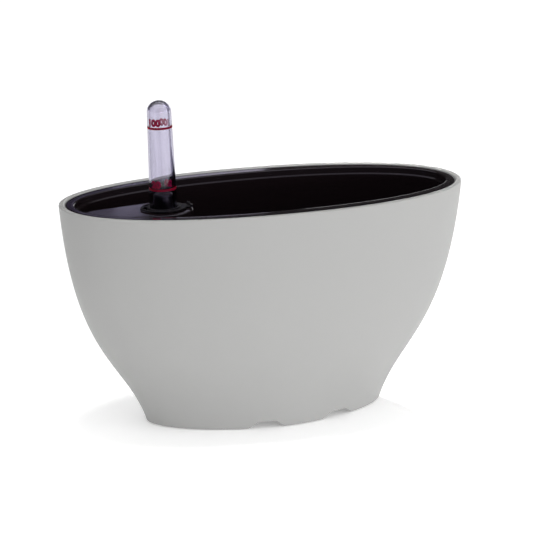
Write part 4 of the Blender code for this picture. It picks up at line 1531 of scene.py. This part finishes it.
@dataclass
class Studio:
    """Pale floor, soft light and the camera at the photograph's angle.

    Angles are in degrees, and focal, centre and picture in pixels of the photograph.
    """

    azimuth: float = -20.3
    elevation: float = 16.652
    roll: float = -0.161
    distance: float = 1.780858
    target_z: float = 0.070
    focal: float = 2500.0
    centre: Pair = (264.205, 313.83)
    picture: float = 540.0
    sensor: float = 36.0
    floor_rings: Triple = (12.0, 0.6, 0.0)
    floor_z: float = -0.5 * MM
    fill: float = 0.88
    window_fill: float = 0.15
    table_glow: float = 0.2
    mirror_fill: float = 0.03
    boxes: tuple[SoftBox, ...] = (
        SoftBox("overhead", (0, 0.5, 3.0), (0, 0.5, 0), (5.0, 5.0), 85.0, lit=False),
        SoftBox("right", (2.4, -1.6, 0.7), (0, 0, 0.06), (2.0, 1.2), 28.7, mirrored=False),
        SoftBox("low", (0.5, -2.6, 0.25), (0, 0, 0.05), (2.4, 0.5), 31.5, mirrored=False),
        SoftBox("backdrop", (0.6901, 2.0904, 0.6640), (-0.0732, 0.0271, 0.6640), (0.156, 0.076), 0.041,
                "#efe9ff", roll=7.9),
        SoftBox("backdrop_left", (0.5776, 2.1320, 0.6975), (-0.1857, 0.0687, 0.6975), (0.088, 0.011), 0.0061,
                "#e6e0ff", roll=12.1),
        SoftBox("backdrop_top", (0.5316, 2.1490, 0.7375), (-0.2317, 0.0857, 0.7375), (0.106, 0.033), 0.0037,
                "#e6e0ff", roll=4.5),
        SoftBox("backdrop_shade", (0.4866, 2.1657, 0.7300), (-0.2767, 0.1023, 0.7300), (0.210, 0.140), 0.0065,
                "#b9a8ff"),
        SoftBox("horizon", (1.35, 1.85, 0.30), (0.586, -0.213, 0.30), (1.15, 0.5), 2.7),
        SoftBox("top", (-0.12, 0.02, 1.6), (-0.12, 0.02, 0.16), (0.3, 0.2), 0.22, mirrored=False,
                spread=26.0),
        SoftBox("kicker", (0.428, 0.563, 0.87), (0.104, 0.058, 0.16), (0.10, 0.06), 0.1, mirrored=False,
                spread=11.0),
    )

    def camera(self) -> None:
        """Camera on a ray from the target, with the photograph's focal length and framing."""
        lens = bpy.data.cameras.new("camera")
        lens.sensor_width = self.sensor
        lens.lens = self.focal * self.sensor / self.picture
        lens.shift_x = (self.picture / 2 - self.centre[0]) / self.picture
        lens.shift_y = (self.centre[1] - self.picture / 2) / self.picture
        made = place("camera", lens)
        az, el = math.radians(self.azimuth), math.radians(self.elevation)
        back = Vector((math.sin(az) * math.cos(el), -math.cos(az) * math.cos(el), math.sin(el)))
        turn = (-back).to_track_quat("-Z", "Y").to_matrix().to_4x4()
        made.matrix_world = (Matrix.Translation(Vector((0, 0, self.target_z)) + back * self.distance) @ turn
                             @ Matrix.Rotation(math.radians(self.roll), 4, "Z"))
        bpy.context.scene.camera = made

    def floor(self) -> None:
        """Wide pale table under the planter, with a faint glow of its own as for a cut-out."""
        profile = np.array([(radius, self.floor_z) for radius in self.floor_rings])
        made = place("floor", shade(Surface.turned(profile).mesh("floor"), OPAL_ACRYLIC))
        feed(material(OPAL_ACRYLIC).node_tree.nodes["Principled BSDF"],
             {"Emission Color": linear(WHITE), "Emission Strength": self.table_glow})

    def light(self) -> None:
        """White surround for the picture, dimmer ones for what is mirrored or seen through, and the boxes."""
        world = bpy.data.worlds.new("surround")
        bpy.context.scene.world = world
        world.use_nodes = True
        tree = world.node_tree
        tree.nodes.clear()
        path = add_node(tree, "LightPath")
        seen = add_node(tree, "Background", {"Color": linear(WHITE), "Strength": self.fill})
        fills = {"Glossy": self.mirror_fill, "Transmission": self.window_fill, "Camera": 1.0}
        for ray, strength in fills.items():
            other = add_node(tree, "Background", {"Color": linear(WHITE), "Strength": strength})
            seen = add_node(tree, "MixShader", {0: path.outputs[f"Is {ray} Ray"], 1: seen, 2: other})
        add_node(tree, "OutputWorld", {"Surface": seen})
        for box in self.boxes:
            box.build()
        bpy.context.scene.view_settings.view_transform = "Standard"

    def build(self) -> None:
        """Sets up the camera, the floor and the light."""
        self.camera()
        self.floor()
        self.light()


def main() -> None:
    """Builds and dresses the planter, then sets the stage."""
    logging.basicConfig(level=logging.INFO, format="%(name)s: %(message)s")
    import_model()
    for assembly in (OuterPot(), InnerLiner(), DrainPlug(), Indicator(), Studio()):
        assembly.build()


if __name__ == "__main__":
    main()
